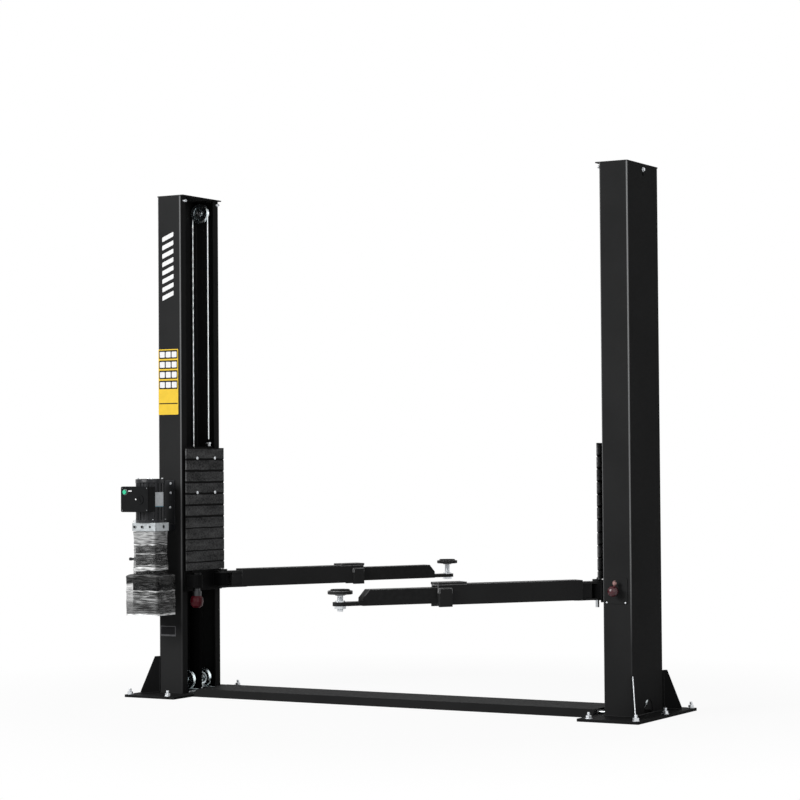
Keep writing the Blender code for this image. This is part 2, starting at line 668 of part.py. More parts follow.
def round_end(x, y, radius, steps=8):
    """Half a circle about (x, y), from its +Y side round through -X to its -Y side."""
    return [(x + radius * cos(pi / 2 + pi * n / steps), y + radius * sin(pi / 2 + pi * n / steps))
            for n in range(steps + 1)]


def boss_mesh(y):
    """A block welded to the back plate, with a round end and a bore for an arm's pin."""
    edge = [*round_end(PIVOT_X, y, BOSS_RADIUS), (BACK_PLATE_MIDDLE, y - BOSS_RADIUS),
            (BACK_PLATE_MIDDLE, y + BOSS_RADIUS)]
    bore = circle(PIVOT_X, y, PIN_RADIUS + PIVOT_GAP, PIN_STEPS)
    return outline_mesh("boss", [edge, bore], BOSS_BOTTOM, BOSS_TOP)


def carriage_meshes():
    back, wide, wall = CARRIAGE_FRONT + CARRIAGE_DEPTH, CARRIAGE_HALF_WIDTH, CARRIAGE_WALL
    channel = outline_mesh("channel", [[
        (CARRIAGE_FRONT, -wide), (back, -wide), (back, -wide + wall),
        (CARRIAGE_FRONT + wall, -wide + wall), (CARRIAGE_FRONT + wall, wide - wall),
        (back, wide - wall), (back, wide), (CARRIAGE_FRONT, wide)]], CARRIAGE_BOTTOM, CARRIAGE_TOP)
    neck = box_mesh("neck", (PANEL_BACK + GAP, CARRIAGE_FRONT + wall / 2),
                    (-NECK_HALF_WIDTH, NECK_HALF_WIDTH), (BACK_PLATE_TOP - wall, PANEL_TOP - wall))
    low_neck = box_mesh("low_neck", (BACK_PLATE_MIDDLE, CARRIAGE_FRONT + wall / 2),
                        (-NECK_HALF_WIDTH + wall, NECK_HALF_WIDTH - wall),
                        (BACK_PLATE_BOTTOM + wall, BACK_PLATE_TOP - 2 * WELD_STEP))
    back_plate = box_mesh("back_plate", (BACK_PLATE_FRONT, BACK_PLATE_BACK),
                          (-BACK_PLATE_HALF_WIDTH + WELD_STEP, BACK_PLATE_HALF_WIDTH - WELD_STEP),
                          (BACK_PLATE_BOTTOM, BACK_PLATE_TOP - WELD_STEP))
    shoes = [shoe_mesh(side, low) for side in (-1, 1)
             for low in (CARRIAGE_BOTTOM + WELD_STEP, CARRIAGE_TOP - WELD_STEP - SHOE_LENGTH)]
    low_lug = box_mesh("low_lug", (CARRIAGE_FRONT + wall / 2, CABLE_BACK + LUG_OVERHANG),
                       (FAR_CABLE - LUG_HALF_WIDTH, FAR_CABLE + LUG_HALF_WIDTH),
                       (LOW_LUG_BOTTOM, LOW_LUG_BOTTOM + LUG_THICKNESS))
    high_lug = box_mesh("high_lug", (CARRIAGE_FRONT + wall / 2, CABLE_FRONT + LUG_HALF_WIDTH),
                        (NEAR_CABLE - LUG_HALF_WIDTH, NEAR_CABLE + LUG_HALF_WIDTH),
                        (HIGH_LUG_TOP - LUG_THICKNESS, HIGH_LUG_TOP))
    stud = rod_mesh("stud", STUD_RADIUS, (CABLE_FRONT, NEAR_CABLE, HIGH_LUG_TOP - LUG_THICKNESS / 2),
                    (CABLE_FRONT, NEAR_CABLE, HIGH_LUG_TOP + STUD_LENGTH), 12)
    bosses = [boss_mesh(y) for y in (-PIVOT_Y, PIVOT_Y)]
    return channel, [neck, low_neck, back_plate, *shoes, low_lug, high_lug, stud, *bosses]


def panel_mesh():
    """A guard sheet with level grooves across its face, as a side outline pushed across."""
    section = [(PANEL_BACK, PANEL_BOTTOM), (PANEL_BACK, PANEL_TOP), (PANEL_FACE, PANEL_TOP)]
    for number in range(PANEL_GROOVES):
        z = PANEL_GROOVE_FIRST - number * PANEL_GROOVE_SPACING
        bottom = z - PANEL_GROOVE_WIDTH
        section += [(PANEL_FACE, z), (PANEL_FACE + PANEL_GROOVE_DEPTH, z),
                    (PANEL_FACE + PANEL_GROOVE_DEPTH, bottom), (PANEL_FACE, bottom)]
    section.append((PANEL_FACE, PANEL_BOTTOM))
    return outline_mesh("panel", [section], -PANEL_HALF_WIDTH, PANEL_HALF_WIDTH, XZ_PLANE)


def pin_mesh(tip):
    """An arm's pin, with its head on the fork and perhaps a thin tip below."""
    top, low = FORK_HIGH[1] + GAP, FORK_LOW[0] - PIN_REACH
    profile = [(0, top + PIN_HEAD), (PIN_HEAD_RADIUS, top + PIN_HEAD), (PIN_HEAD_RADIUS, top),
               (PIN_RADIUS, top), (PIN_RADIUS, low)]
    if tip:
        profile += [(PIN_TIP_RADIUS, low), (PIN_TIP_RADIUS, low - tip)]
    return profile_mesh("pin", [*profile, (0, low - tip)], False)


def capped_pin_mesh():
    """A pivot pin with no arm on it, with a collar and a plastic cap on its lower end."""
    top, middle = BOSS_TOP + GAP, (CAP_TOP + CAP_BOTTOM) / 2
    return profile_mesh("capped_pin", [
        (0, top + PIN_HEAD), (PIN_HEAD_RADIUS, top + PIN_HEAD), (PIN_HEAD_RADIUS, top), (PIN_RADIUS, top),
        (PIN_RADIUS, COLLAR_TOP), (COLLAR_RADIUS, COLLAR_TOP), (COLLAR_RADIUS, CAP_TOP),
        (CAP_RADIUS * 0.9, CAP_TOP - PIN_HEAD), (CAP_RADIUS, middle),
        (CAP_RADIUS * 0.85, CAP_BOTTOM + PIN_HEAD), (CAP_RADIUS * 0.5, CAP_BOTTOM), (0, CAP_BOTTOM)], False)


def tube_mesh(name, start, end, half_width, low, high):
    return box_mesh(name, (start, end), (-half_width, half_width), (low, high))


def fork_mesh(low, high):
    """A fork plate: round at the pin, widening to the tube and tapered off along it."""
    narrow = FORK_HALF_WIDTH - FORK_TAPER
    edge = [*round_end(0, 0, FORK_RADIUS), (FORK_SHOULDER, -FORK_HALF_WIDTH),
            (FORK_END - FORK_TAPER, -FORK_HALF_WIDTH), (FORK_END, -narrow), (FORK_END, narrow),
            (FORK_END - FORK_TAPER, FORK_HALF_WIDTH), (FORK_SHOULDER, FORK_HALF_WIDTH)]
    bore = circle(0, 0, PIN_RADIUS + PIVOT_GAP, PIN_STEPS)
    return outline_mesh("fork", [edge, bore], low, high)


def arm_outer_meshes():
    """The outer tube with its fork, sleeve plate and lugs."""
    half, root = ARM_WIDTH / 2, ARM_WIDTH / 2 - ARM_WELD
    tube = tube_mesh("arm_tube", ARM_START, ARM_END, half, ARM_BOTTOM, ARM_TOP)
    forks = [fork_mesh(*FORK_LOW), fork_mesh(*FORK_HIGH)]
    web = tube_mesh("fork_web", FORK_WEB_START, ARM_START + WELD_STEP, FORK_WEB_HALF_WIDTH,
                    FORK_LOW[1] - WELD_STEP, FORK_HIGH[0] + WELD_STEP)
    sleeve = box_mesh("arm_sleeve", (ARM_END - SLEEVE_LENGTH, ARM_END + WELD_STEP),
                      (-half - SLEEVE_OVERHANG, half + SLEEVE_OVERHANG),
                      (ARM_TOP - ARM_WELD, ARM_TOP + SLEEVE_THICKNESS))
    lug_start, proud = ARM_END - ARM_LUG_BACK, half + ARM_LUG_DEPTH
    lugs = [box_mesh("arm_lug", (lug_start, lug_start + ARM_LUG_LENGTH), across,
                     (ARM_BOTTOM - ARM_LUG_DROP, ARM_TOP - ARM_LUG_TOP))
            for across in ((-proud, -root), (root, proud))]
    bore = tube_mesh("arm_bore", ARM_START + 2 * ARM_WALL, ARM_END + ARM_WALL, half - ARM_WALL,
                     ARM_BOTTOM + ARM_WALL, ARM_TOP - ARM_WALL)
    return tube, [*forks, web, sleeve, *lugs], [bore]


def arm_inner_meshes(reach):
    """The inner tube, closed at a slope, with the tab, flange and nut that carry the pad's screw."""
    end, high, half = reach - TAB_LENGTH, INNER_BOTTOM + INNER_HEIGHT, INNER_WIDTH / 2
    start = end - INNER_LENGTH
    tube = tube_mesh("inner_tube", start, end, half, INNER_BOTTOM, high)
    root, low = end - TAB_ROOT, INNER_BOTTOM + WELD_STEP
    tab = outline_mesh("tab", [[(root, -TAB_HALF_WIDTH), *reversed(
        [(2 * reach - x, y) for x, y in round_end(reach, 0, TAB_END_RADIUS)]), (root, TAB_HALF_WIDTH)]],
        low, TAB_TOP)
    flange = rod_mesh("flange", FLANGE_RADIUS, (reach, 0, TAB_TOP - WELD_STEP),
                      (reach, 0, TAB_TOP + FLANGE_HEIGHT))
    nut = rod_mesh("nut", NUT_RADIUS, (reach, 0, low - NUT_HEIGHT), (reach, 0, low + WELD_STEP), 6)
    nose, roof, back = INNER_BOTTOM + INNER_NOSE, high - INNER_WALL, root - INNER_WALL
    bore = outline_mesh("inner_bore", [[
        (back, TAB_TOP), (end - INNER_WALL, TAB_TOP), (end - INNER_WALL, nose - INNER_WALL),
        (end - INNER_SLOPE - INNER_WALL, roof), (back, roof)]], INNER_WALL - half, half - INNER_WALL, XZ_PLANE)
    back_bore = tube_mesh("back_bore", start - INNER_WALL, back, half - INNER_WALL,
                          INNER_BOTTOM + INNER_WALL, roof)
    slope = outline_mesh("slope", [[
        (end - INNER_SLOPE, high), (end - INNER_SLOPE, high + INNER_WALL),
        (end + INNER_WALL, high + INNER_WALL), (end + INNER_WALL, nose), (end, nose)]],
        -INNER_WIDTH, INNER_WIDTH, XZ_PLANE)
    hole = rod_mesh("screw_hole", SCREW_RADIUS + PIN_GAP, (reach, 0, low - 2 * NUT_HEIGHT),
                    (reach, 0, TAB_TOP + 2 * FLANGE_HEIGHT), PIN_STEPS)
    return tube, [tab, flange, nut], [bore, back_bore, slope, hole]


def screw_mesh(pad_top):
    """The pad's screw with its hub and saucer."""
    rim_top = pad_top - PAD_RISE
    bottom = rim_top - SAUCER_HEIGHT
    socket, hub = PAD_RADIUS + PIN_GAP, bottom - HUB_DROP
    return profile_mesh("screw", [
        (0, bottom + SAUCER_FLOOR), (socket, bottom + SAUCER_FLOOR), (socket, rim_top),
        (SAUCER_RADIUS - SAUCER_EDGE, rim_top), (SAUCER_RADIUS, rim_top - SAUCER_EDGE),
        (SAUCER_RADIUS, bottom + SAUCER_EDGE), (SAUCER_RADIUS - SAUCER_EDGE, bottom), (HUB_RADIUS, hub),
        (SCREW_RADIUS, hub), (SCREW_RADIUS, bottom - SCREW_LENGTH), (0, bottom - SCREW_LENGTH)], False)


def pad_mesh(pad_top):
    """A rubber disc with two ring grooves, in the saucer."""
    bottom = pad_top - PAD_RISE - SAUCER_HEIGHT + SAUCER_FLOOR + GAP
    groove, edge = pad_top - PAD_GROOVE, PAD_RADIUS - SAUCER_EDGE
    profile = [(0, pad_top)]
    for inside, outside in zip(PAD_RINGS[::2], PAD_RINGS[1::2]):
        profile += [(inside, pad_top), (inside, groove), (outside, groove), (outside, pad_top)]
    profile += [(edge, pad_top), (PAD_RADIUS, pad_top - SAUCER_EDGE), (PAD_RADIUS, bottom), (0, bottom)]
    return profile_mesh("pad", profile, False)


def lock_cover_mesh():
    x = INNER + LOCK_COVER_PLACE
    low, high = x - LOCK_COVER_WIDTH / 2, x + LOCK_COVER_WIDTH / 2
    top = LOCK_COVER_BOTTOM + LOCK_COVER_HEIGHT
    corners = rounded([(low, LOCK_COVER_BOTTOM, 0.006), (high, LOCK_COVER_BOTTOM, 0.006),
                       (high, top, 0.006), (low, top, 0.006)])
    front = HALF + GAP
    return outline_mesh("lock_cover", [corners], front, front + LOCK_COVER_THICKNESS, XZ_PLANE)


def knob_mesh():
    """A round pull knob on a short stem, turned about its stem."""
    steps = 6
    ball = KNOB_STEM_LENGTH + KNOB_RADIUS * 0.8
    start = -pi / 2 + 0.35
    profile = [(KNOB_RADIUS * cos(a), ball + KNOB_RADIUS * sin(a))
               for a in (start + (pi / 2 - start) * n / steps for n in range(steps, 0, -1))]
    profile[0] = (0.0, profile[0][1])
    profile += [(KNOB_STEM_RADIUS, ball + KNOB_RADIUS * sin(start)), (KNOB_STEM_RADIUS, 0), (0, 0)]
    return profile_mesh("knob", profile, False)


def add_turned(name, profile, material, steps, parent=None, location=(0, 0, 0), tilt=0.0):
    piece = add_piece(name, profile, material, parent, location)
    piece.rotation_euler.x = tilt
    turn_profile(piece, steps)
    return piece


def add_structure(side, frame):
    post, arch = post_meshes()
    add_piece(f"{side}_post", post, GREY_PAINT, frame, cuts=arch)
    plate, gussets = base_meshes()
    add_piece(f"{side}_base_plate", plate, GREY_PAINT, frame, joined=gussets)
    add_piece(f"{side}_top_plate", top_plate_mesh(), GREY_PAINT, frame)
    add_piece(f"{side}_lock_cover", lock_cover_mesh(), GREY_PAINT, frame)
    knob_y = -HALF - 2 * GAP - LOCK_COVER_THICKNESS
    add_turned(f"{side}_release_knob", knob_mesh(), RED_PLASTIC, 16, frame,
               (INNER + LOCK_COVER_PLACE, knob_y, KNOB_HEIGHT), pi / 2)


def add_cable_gear(side, frame):
    bracket, axles = top_bracket_meshes()
    add_piece(f"{side}_top_sheave_bracket", bracket, ZINC, frame, joined=axles)
    bracket, axles = floor_bracket_meshes()
    add_piece(f"{side}_floor_sheave_bracket", bracket, ZINC, frame, joined=axles)
    sheave = sheave_mesh()
    places = {"top_sheave": (SHEAVE_X, NEAR_CABLE, TOP_SHEAVE_Z),
              "near_floor_sheave": (SHEAVE_X, NEAR_CABLE, FLOOR_SHEAVE_HEIGHT),
              "far_floor_sheave": (SHEAVE_X, FAR_CABLE, FLOOR_SHEAVE_HEIGHT)}
    for name, place in places.items():
        add_turned(f"{side}_{name}", sheave, ZINC, SHEAVE_STEPS, frame, place, pi / 2)
    add_cable(f"{side}_cable", cable_path(), frame)
    upper = [(CABLE_FRONT, NEAR_CABLE, HIGH_LUG_TOP + STUD_LENGTH + GAP),
             (CABLE_FRONT, NEAR_CABLE, TOP_SHEAVE_Z - CABLE_LEAD - GAP)]
    lower = [(CABLE_BACK, FAR_CABLE, FLOOR_SHEAVE_HEIGHT + CABLE_LEAD + GAP),
             (CABLE_BACK, FAR_CABLE, LOW_LUG_BOTTOM - GAP)]
    add_cable(f"{side}_cable_upper_run", upper, frame)
    add_cable(f"{side}_cable_lower_run", lower, frame)


def add_cylinder(side, frame):
    place = (CYLINDER_X, CYLINDER_OFFSET, 0)
    add_turned(f"{side}_cylinder_barrel", barrel_mesh(), BLACK_PAINT, CYLINDER_STEPS, frame, place)
    shaft, details = rod_meshes()
    add_piece(f"{side}_cylinder_rod", shaft, CHROME, frame, place, joined=details)


def add_carriage(side, frame):
    channel, details = carriage_meshes()
    add_piece(f"{side}_carriage", channel, BLACK_PAINT, frame, joined=details)
    add_piece(f"{side}_guard_panel", panel_mesh(), BLACK_RUBBER, frame)
    add_turned(f"{side}_arm_pin", pin_mesh(PIN_TIPS[side]), ZINC, PIN_STEPS, frame, (PIVOT_X, -PIVOT_Y, 0))
    add_turned(f"{side}_spare_pin", capped_pin_mesh(), RED_PLASTIC, PIN_STEPS, frame, (PIVOT_X, PIVOT_Y, 0))


def add_arm(side, frame):
    """The arm lies along its own +X, with its origin on the pivot."""
    reach, pad_top = PAD_REACHES[side], PAD_TOPS[side]
    pivot = add_empty(f"{side}_arm_pivot", frame, (PIVOT_X, -PIVOT_Y, 0), ARM_HEADINGS[side])
    tube, details, bores = arm_outer_meshes()
    add_piece(f"{side}_arm_outer", tube, BLACK_PAINT, pivot, joined=details, cuts=bores)
    tube, details, bores = arm_inner_meshes(reach)
    add_piece(f"{side}_arm_inner", tube, BLACK_PAINT, pivot, joined=details, cuts=bores)
    place = (reach, 0, 0)
    add_turned(f"{side}_pad_screw", screw_mesh(pad_top), ZINC, PIN_STEPS, pivot, place)
    add_turned(f"{side}_pad", pad_mesh(pad_top), BLACK_RUBBER, PIN_STEPS, pivot, place)


def add_floor_cover():
    cover, ribs, notches = cover_meshes()
    add_piece("floor_cover", cover, GREY_PAINT, joined=ribs, cuts=notches)


def rectangle(width, depth, radius=0.0):
    x, y = width / 2, depth / 2
    return rounded([(-x, -y, radius), (x, -y, radius), (x, y, radius), (-x, y, radius)])


def motor_points():
    """A round motor body with cooling fins all round."""
    points = []
    for fin in range(MOTOR_FINS):
        for share, radius in ((0.0, MOTOR_RADIUS), (0.45, MOTOR_RADIUS),
                              (0.5, MOTOR_RADIUS - MOTOR_FIN_DEPTH), (0.95, MOTOR_RADIUS - MOTOR_FIN_DEPTH)):
            angle = 2 * pi * (fin + share) / MOTOR_FINS
            points.append((radius * cos(angle), radius * sin(angle)))
    return points


def add_power_unit():
    unit = add_empty("power_unit", None, (UNIT_X, UNIT_Y, 0))
    wall = -HALF - GAP - UNIT_Y
    arm_end = BLOCK_DEPTH / 2 + GAP
    bracket = outline_mesh("unit_bracket", [[
        (wall, BLOCK_BOTTOM), (wall, UNIT_BRACKET_TOP), (wall - UNIT_BRACKET_THICKNESS, UNIT_BRACKET_TOP),
        (wall - UNIT_BRACKET_THICKNESS, BLOCK_BOTTOM + UNIT_BRACKET_ARM),
        (arm_end, BLOCK_BOTTOM + UNIT_BRACKET_ARM), (arm_end, BLOCK_BOTTOM)]],
        -UNIT_BRACKET_WIDTH / 2, UNIT_BRACKET_WIDTH / 2, YZ_PLANE)
    add_piece("unit_bracket", bracket, BLACK_PAINT, unit)
    block = outline_mesh("valve_block", [rectangle(BLOCK_WIDTH, BLOCK_DEPTH, 0.004)], BLOCK_BOTTOM, BLOCK_TOP)
    face, inside = -BLOCK_DEPTH / 2, PORT_DEPTH - BLOCK_DEPTH / 2
    port = rod_mesh("port", PORT_RADIUS, (PORT_PLACE, face - PORT_DEPTH, PORT_HEIGHT),
                    (PORT_PLACE, inside, PORT_HEIGHT), AXLE_STEPS)
    plugs = [rod_mesh("plug", PLUG_RADIUS, (x, face - PLUG_PROUD, PORT_HEIGHT), (x, inside, PORT_HEIGHT),
                      AXLE_STEPS) for x in PLUG_PLACES]
    add_piece("valve_block", block, ALUMINIUM, unit, joined=plugs, cuts=[port])
    flange_low = BLOCK_TOP + GAP
    flange_top = flange_low + MOTOR_FLANGE_HEIGHT
    body = outline_mesh("motor", [motor_points()], flange_top - 0.002, MOTOR_TOP - 0.02)
    flange = rod_mesh("motor_flange", MOTOR_FLANGE_RADIUS - 0.004, (0, 0, flange_low), (0, 0, flange_top), 24)
    lid = rod_mesh("motor_lid", MOTOR_RADIUS - 0.002, (0, 0, MOTOR_TOP - 0.021), (0, 0, MOTOR_TOP), 24)
    add_piece("motor", body, BLACK_PAINT, unit, joined=[flange, lid])
    upper = outline_mesh("tank_upper", [rectangle(*TANK_UPPER, TANK_CORNER)], TANK_STEP - 0.01,
                         BLOCK_BOTTOM - GAP)
    lower = outline_mesh("tank_lower", [rectangle(*TANK_LOWER, TANK_CORNER)], TANK_BOTTOM, TANK_STEP)
    stub = rod_mesh("tank_stub", TANK_STUB_RADIUS, (-TANK_UPPER[0] / 2 + 0.01, 0, TANK_STUB_HEIGHT),
                    (-TANK_UPPER[0] / 2 - TANK_STUB_LENGTH, 0, TANK_STUB_HEIGHT), 10)
    add_piece("oil_tank", upper, TANK_FILM, unit, joined=[lower, stub])
    box_back = -MOTOR_RADIUS - GAP
    box_front = box_back - CONTROL_DEPTH
    box_top = CONTROL_BOTTOM + CONTROL_HEIGHT
    half = CONTROL_WIDTH / 2
    face = rounded([(-half, CONTROL_BOTTOM, CONTROL_CORNER), (half, CONTROL_BOTTOM, CONTROL_CORNER),
                    (half, box_top, CONTROL_CORNER), (-half, box_top, CONTROL_CORNER)])
    control = outline_mesh("control_box", [face], -box_back, -box_front, XZ_PLANE)
    button_x, button_z = -half + BUTTON_FROM_LEFT, box_top - BUTTON_FROM_TOP
    well = rod_mesh("button_well", BUTTON_RADIUS + PIN_GAP, (button_x, box_front - 0.01, button_z),
                    (button_x, box_front + BUTTON_WELL, button_z), 20)
    add_piece("control_box", control, BLACK_PAINT, unit, cuts=[well])
    button = rod_mesh("start_button", BUTTON_RADIUS, (0, 0, 0), (0, -BUTTON_LENGTH, 0), 20)
    add_piece("start_button", button, GREEN_PLASTIC, unit,
              (button_x, box_front + BUTTON_WELL - 0.0035, button_z))


for side, turn in SIDES.items():
    side_frame = add_empty(f"{side}_side", turn=turn)
    add_structure(side, side_frame)
    add_cable_gear(side, side_frame)
    add_cylinder(side, side_frame)
    add_carriage(side, side_frame)
    add_arm(side, side_frame)
add_floor_cover()
add_power_unit()
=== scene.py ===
# Two post car lift: the looks. It gives every CAD node its finish and adds what the solids leave
# out: bolts, welds, threads, cable strands, blank labels, the power unit's fittings and film.
# Metres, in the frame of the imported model. Both sides' pieces are laid out for the right post,
# and the left side is the same side turned half a turn about +Z.

from math import ceil, cos, floor, pi, radians, sin

import bmesh
import bpy
from mathutils import Matrix, Vector, noise


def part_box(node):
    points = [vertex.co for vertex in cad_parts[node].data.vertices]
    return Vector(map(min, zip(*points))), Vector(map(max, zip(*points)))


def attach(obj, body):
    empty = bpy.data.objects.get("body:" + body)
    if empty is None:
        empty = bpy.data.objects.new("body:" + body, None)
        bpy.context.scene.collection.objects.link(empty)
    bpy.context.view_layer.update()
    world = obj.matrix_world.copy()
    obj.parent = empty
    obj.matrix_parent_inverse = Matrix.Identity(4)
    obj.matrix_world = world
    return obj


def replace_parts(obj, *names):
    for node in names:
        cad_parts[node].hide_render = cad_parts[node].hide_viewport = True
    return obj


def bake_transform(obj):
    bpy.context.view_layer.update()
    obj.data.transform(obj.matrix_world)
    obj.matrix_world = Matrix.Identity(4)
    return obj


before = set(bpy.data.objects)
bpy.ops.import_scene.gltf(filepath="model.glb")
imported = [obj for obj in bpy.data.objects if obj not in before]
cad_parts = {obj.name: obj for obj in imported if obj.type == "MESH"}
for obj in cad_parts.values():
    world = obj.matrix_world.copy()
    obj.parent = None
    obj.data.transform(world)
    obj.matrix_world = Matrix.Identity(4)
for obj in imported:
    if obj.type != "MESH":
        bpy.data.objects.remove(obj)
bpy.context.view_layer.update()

SIDES = {"right": Matrix.Identity(4), "left": Matrix.Rotation(pi, 4, "Z")}

# Camera
CAMERA_PLACE = (6.2983, -10.8784, 1.2943)
CAMERA_YAW = radians(30.016)
CAMERA_PITCH = radians(1.57)
CAMERA_ROLL = radians(-0.4323)
CAMERA_LENS = 104.46
SENSOR_WIDTH = 36.0

# Places taken from the CAD nodes, on the right side
POST_LOW, POST_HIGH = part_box("right_post")
BASE_LOW, BASE_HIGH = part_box("right_base_plate")
PANEL_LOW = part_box("right_guard_panel")[0]
LOCK_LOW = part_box("right_lock_cover")[0]
PLATE_TOP = 0.014               # of the base plates
ANCHOR_INSET = 0.024
ANCHOR_FROM_INSIDE = 0.058
ANCHOR_OFFSET = 0.015
BEND_INSET = 0.0035             # from the posts' faces to the middle of a bend
GROOVE_FIRST = 1.327            # height of the guard panel's top groove
GROOVE_SPACING = 0.0645
KNOB_PLACE = Vector((1.379, -0.222, 0.684))
COVER_HALF_WIDTH = 0.187
PIVOT = Vector((1.24, -0.13, 0.0))
ARM_HEADINGS = {"right": radians(-126.1), "left": radians(-118.7)}
PAD_REACHES = {"right": 1.415, "left": 1.52}
PAD_TOPS = {"right": 0.689, "left": 0.714}

# Cables
CABLE_RADIUS = 0.0052
STRANDS = 6
LAY_LENGTH = 0.045              # one turn of a strand
PITCH_RADIUS = 0.052
SHEAVE_X = 1.38
TOP_SHEAVE_Z = 2.745
FLOOR_SHEAVE_Z = 0.077
NEAR_CABLE = -0.12
FAR_CABLE = 0.035

# Pads and their screws
SCREW_RADIUS = 0.0152
SCREW_LENGTH = 0.084
THREAD_DEPTH = 0.0014
THREAD_PITCH = 0.004
SAUCER_RADIUS = 0.061
SAUCER_HEIGHT = 0.018
SAUCER_FLOOR = 0.008
HUB_RADIUS = 0.024
HUB_DROP = 0.006
PAD_RADIUS = 0.0475
PAD_RISE = 0.007
PAD_RIBS = 24

# Power unit
UNIT = Vector((-1.398, -0.35, 0.0))
MOTOR_RADIUS = 0.081
MOTOR_LOW, MOTOR_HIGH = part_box("motor")
BLOCK_LOW, BLOCK_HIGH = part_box("valve_block")
BOX_LOW, BOX_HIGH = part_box("control_box")
TANK_LOW, TANK_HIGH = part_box("oil_tank")
TANK_STEP = 0.692
BRACKET_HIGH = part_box("unit_bracket")[1]


# Materials

def feed(tree, socket, value):
    """Links a socket to another one, or else sets its value."""
    if isinstance(value, bpy.types.NodeSocket):
        tree.links.new(value, socket)
    else:
        socket.default_value = value


def add_node(tree, kind, inputs, **settings):
    node = tree.nodes.new(kind)
    for name, value in settings.items():
        setattr(node, name, value)
    for name, value in inputs.items():
        feed(tree, node.inputs[name], value)
    return node


class Skin:
    """A Principled material whose inputs are built from procedural nodes."""

    def __init__(self, name, color, roughness, metallic=0.0, specular=0.5):
        self.material = bpy.data.materials.new(name)
        self.material.use_nodes = True
        self.tree = self.material.node_tree
        self.shader = self.tree.nodes["Principled BSDF"]
        self.coordinates = self.node("ShaderNodeTexCoord", {}).outputs["Object"]
        self.color = (*color, 1.0)
        self.set("Base Color", self.color)
        self.set("Roughness", roughness)
        self.set("Metallic", metallic)
        self.set("Specular IOR Level", specular)
        self.material.diffuse_color = self.color

    def set(self, name, value):
        feed(self.tree, self.shader.inputs[name], value)

    def node(self, kind, inputs, **settings):
        return add_node(self.tree, kind, inputs, **settings)

    def math(self, operation, first, second, **settings):
        inputs = {0: first, 1: second}
        return self.node("ShaderNodeMath", inputs, operation=operation, **settings).outputs[0]

    def vector(self, operation, first, second=(0, 0, 0), result=0):
        """A vector made from vectors, or a number where the result is "Value"."""
        inputs = {0: first, 1: second}
        return self.node("ShaderNodeVectorMath", inputs, operation=operation).outputs[result]

    def scaled(self, color, amount):
        return self.node("ShaderNodeVectorMath", {0: color, "Scale": amount}, operation="SCALE").outputs[0]

    def patches(self, size, detail, low, high):
        """Clouds of about this size whose value goes from low to high."""
        return self.spread(self.noise(size, detail), low, high)

    def noise(self, size, detail=2.0, stretch=(1.0, 1.0, 1.0)):
        """Clouds of about this size in metres."""
        scale = tuple(1.0 / (size * part) for part in stretch)
        place = self.node("ShaderNodeMapping", {"Vector": self.coordinates, "Scale": scale}).outputs[0]
        return self.node("ShaderNodeTexNoise", {"Vector": place, "Scale": 1.0, "Detail": detail}).outputs[0]

    def spread(self, value, low, high, start=0.3, end=0.7):
        """A value between start and end, turned into one between low and high."""
        return self.node("ShaderNodeMapRange", {"Value": value, "From Min": start, "From Max": end,
                                                "To Min": low, "To Max": high}).outputs[0]

    def mix(self, share, first, second):
        return self.node("ShaderNodeMix", {0: share, 6: first, 7: second}, data_type="RGBA").outputs[2]

    def mix_number(self, share, first, second):
        return self.node("ShaderNodeMix", {0: share, 2: first, 3: second}).outputs[0]

    def clouded(self, value, amount):
        """The base colour, lighter and darker by this share."""
        tones = [[part * scale for part in self.color[:3]] + [1.0] for scale in (1 - amount, 1 + amount)]
        return self.mix(self.spread(value, 0.0, 1.0), *tones)

    def coat(self, share, color):
        """Lays a colour over the base colour that is built so far."""
        tone = self.shader.inputs["Base Color"].links[0].from_socket
        self.set("Base Color", self.mix(share, tone, (*color, 1.0)))

    def height(self):
        return self.node("ShaderNodeSeparateXYZ", {0: self.coordinates}).outputs["Z"]

    def rounded(self, radius):
        """A normal that is round near sharp edges."""
        return self.node("ShaderNodeBevel", {"Radius": radius}, samples=4).outputs[0]

    def edges(self, radius):
        """A mask of the surface near sharp edges, and the normal that is round there."""
        bevel = self.rounded(radius)
        normal = self.node("ShaderNodeNewGeometry", {}).outputs["Normal"]
        along = self.vector("DOT_PRODUCT", bevel, normal, "Value")
        return self.spread(along, 0.0, 1.0, 0.995, 0.9), bevel

    def bump(self, height, depth, strength=1.0, normal=None):
        inputs = {"Height": height, "Distance": depth, "Strength": strength}
        if normal:
            inputs["Normal"] = normal
        self.set("Normal", self.node("ShaderNodeBump", inputs).outputs[0])

    def above(self, z):
        """A mask of the surface above a height."""
        return self.math("GREATER_THAN", self.height(), z)

    def along_bends(self, reach):
        """A mask of the surface along the posts' four upright bends, outer and inner."""
        flat = self.vector("MULTIPLY", self.vector("ABSOLUTE", self.coordinates), (1, 1, 0))
        shares = []
        for x, strength in ((POST_HIGH.x - BEND_INSET, 1.0), (POST_LOW.x + BEND_INSET, 0.6)):
            away = self.vector("DISTANCE", flat, (x, POST_HIGH.y - BEND_INSET, 0), "Value")
            shares.append(self.spread(away, strength, 0.0, 0.002, reach))
        return self.math("MAXIMUM", *shares)

    def near_axis(self, x, y, radius):
        """A mask of the surface within a radius of an upright axis."""
        flat = self.vector("MULTIPLY", self.coordinates, (1, 1, 0))
        return self.math("LESS_THAN", self.vector("DISTANCE", flat, (x, y, 0), "Value"), radius)


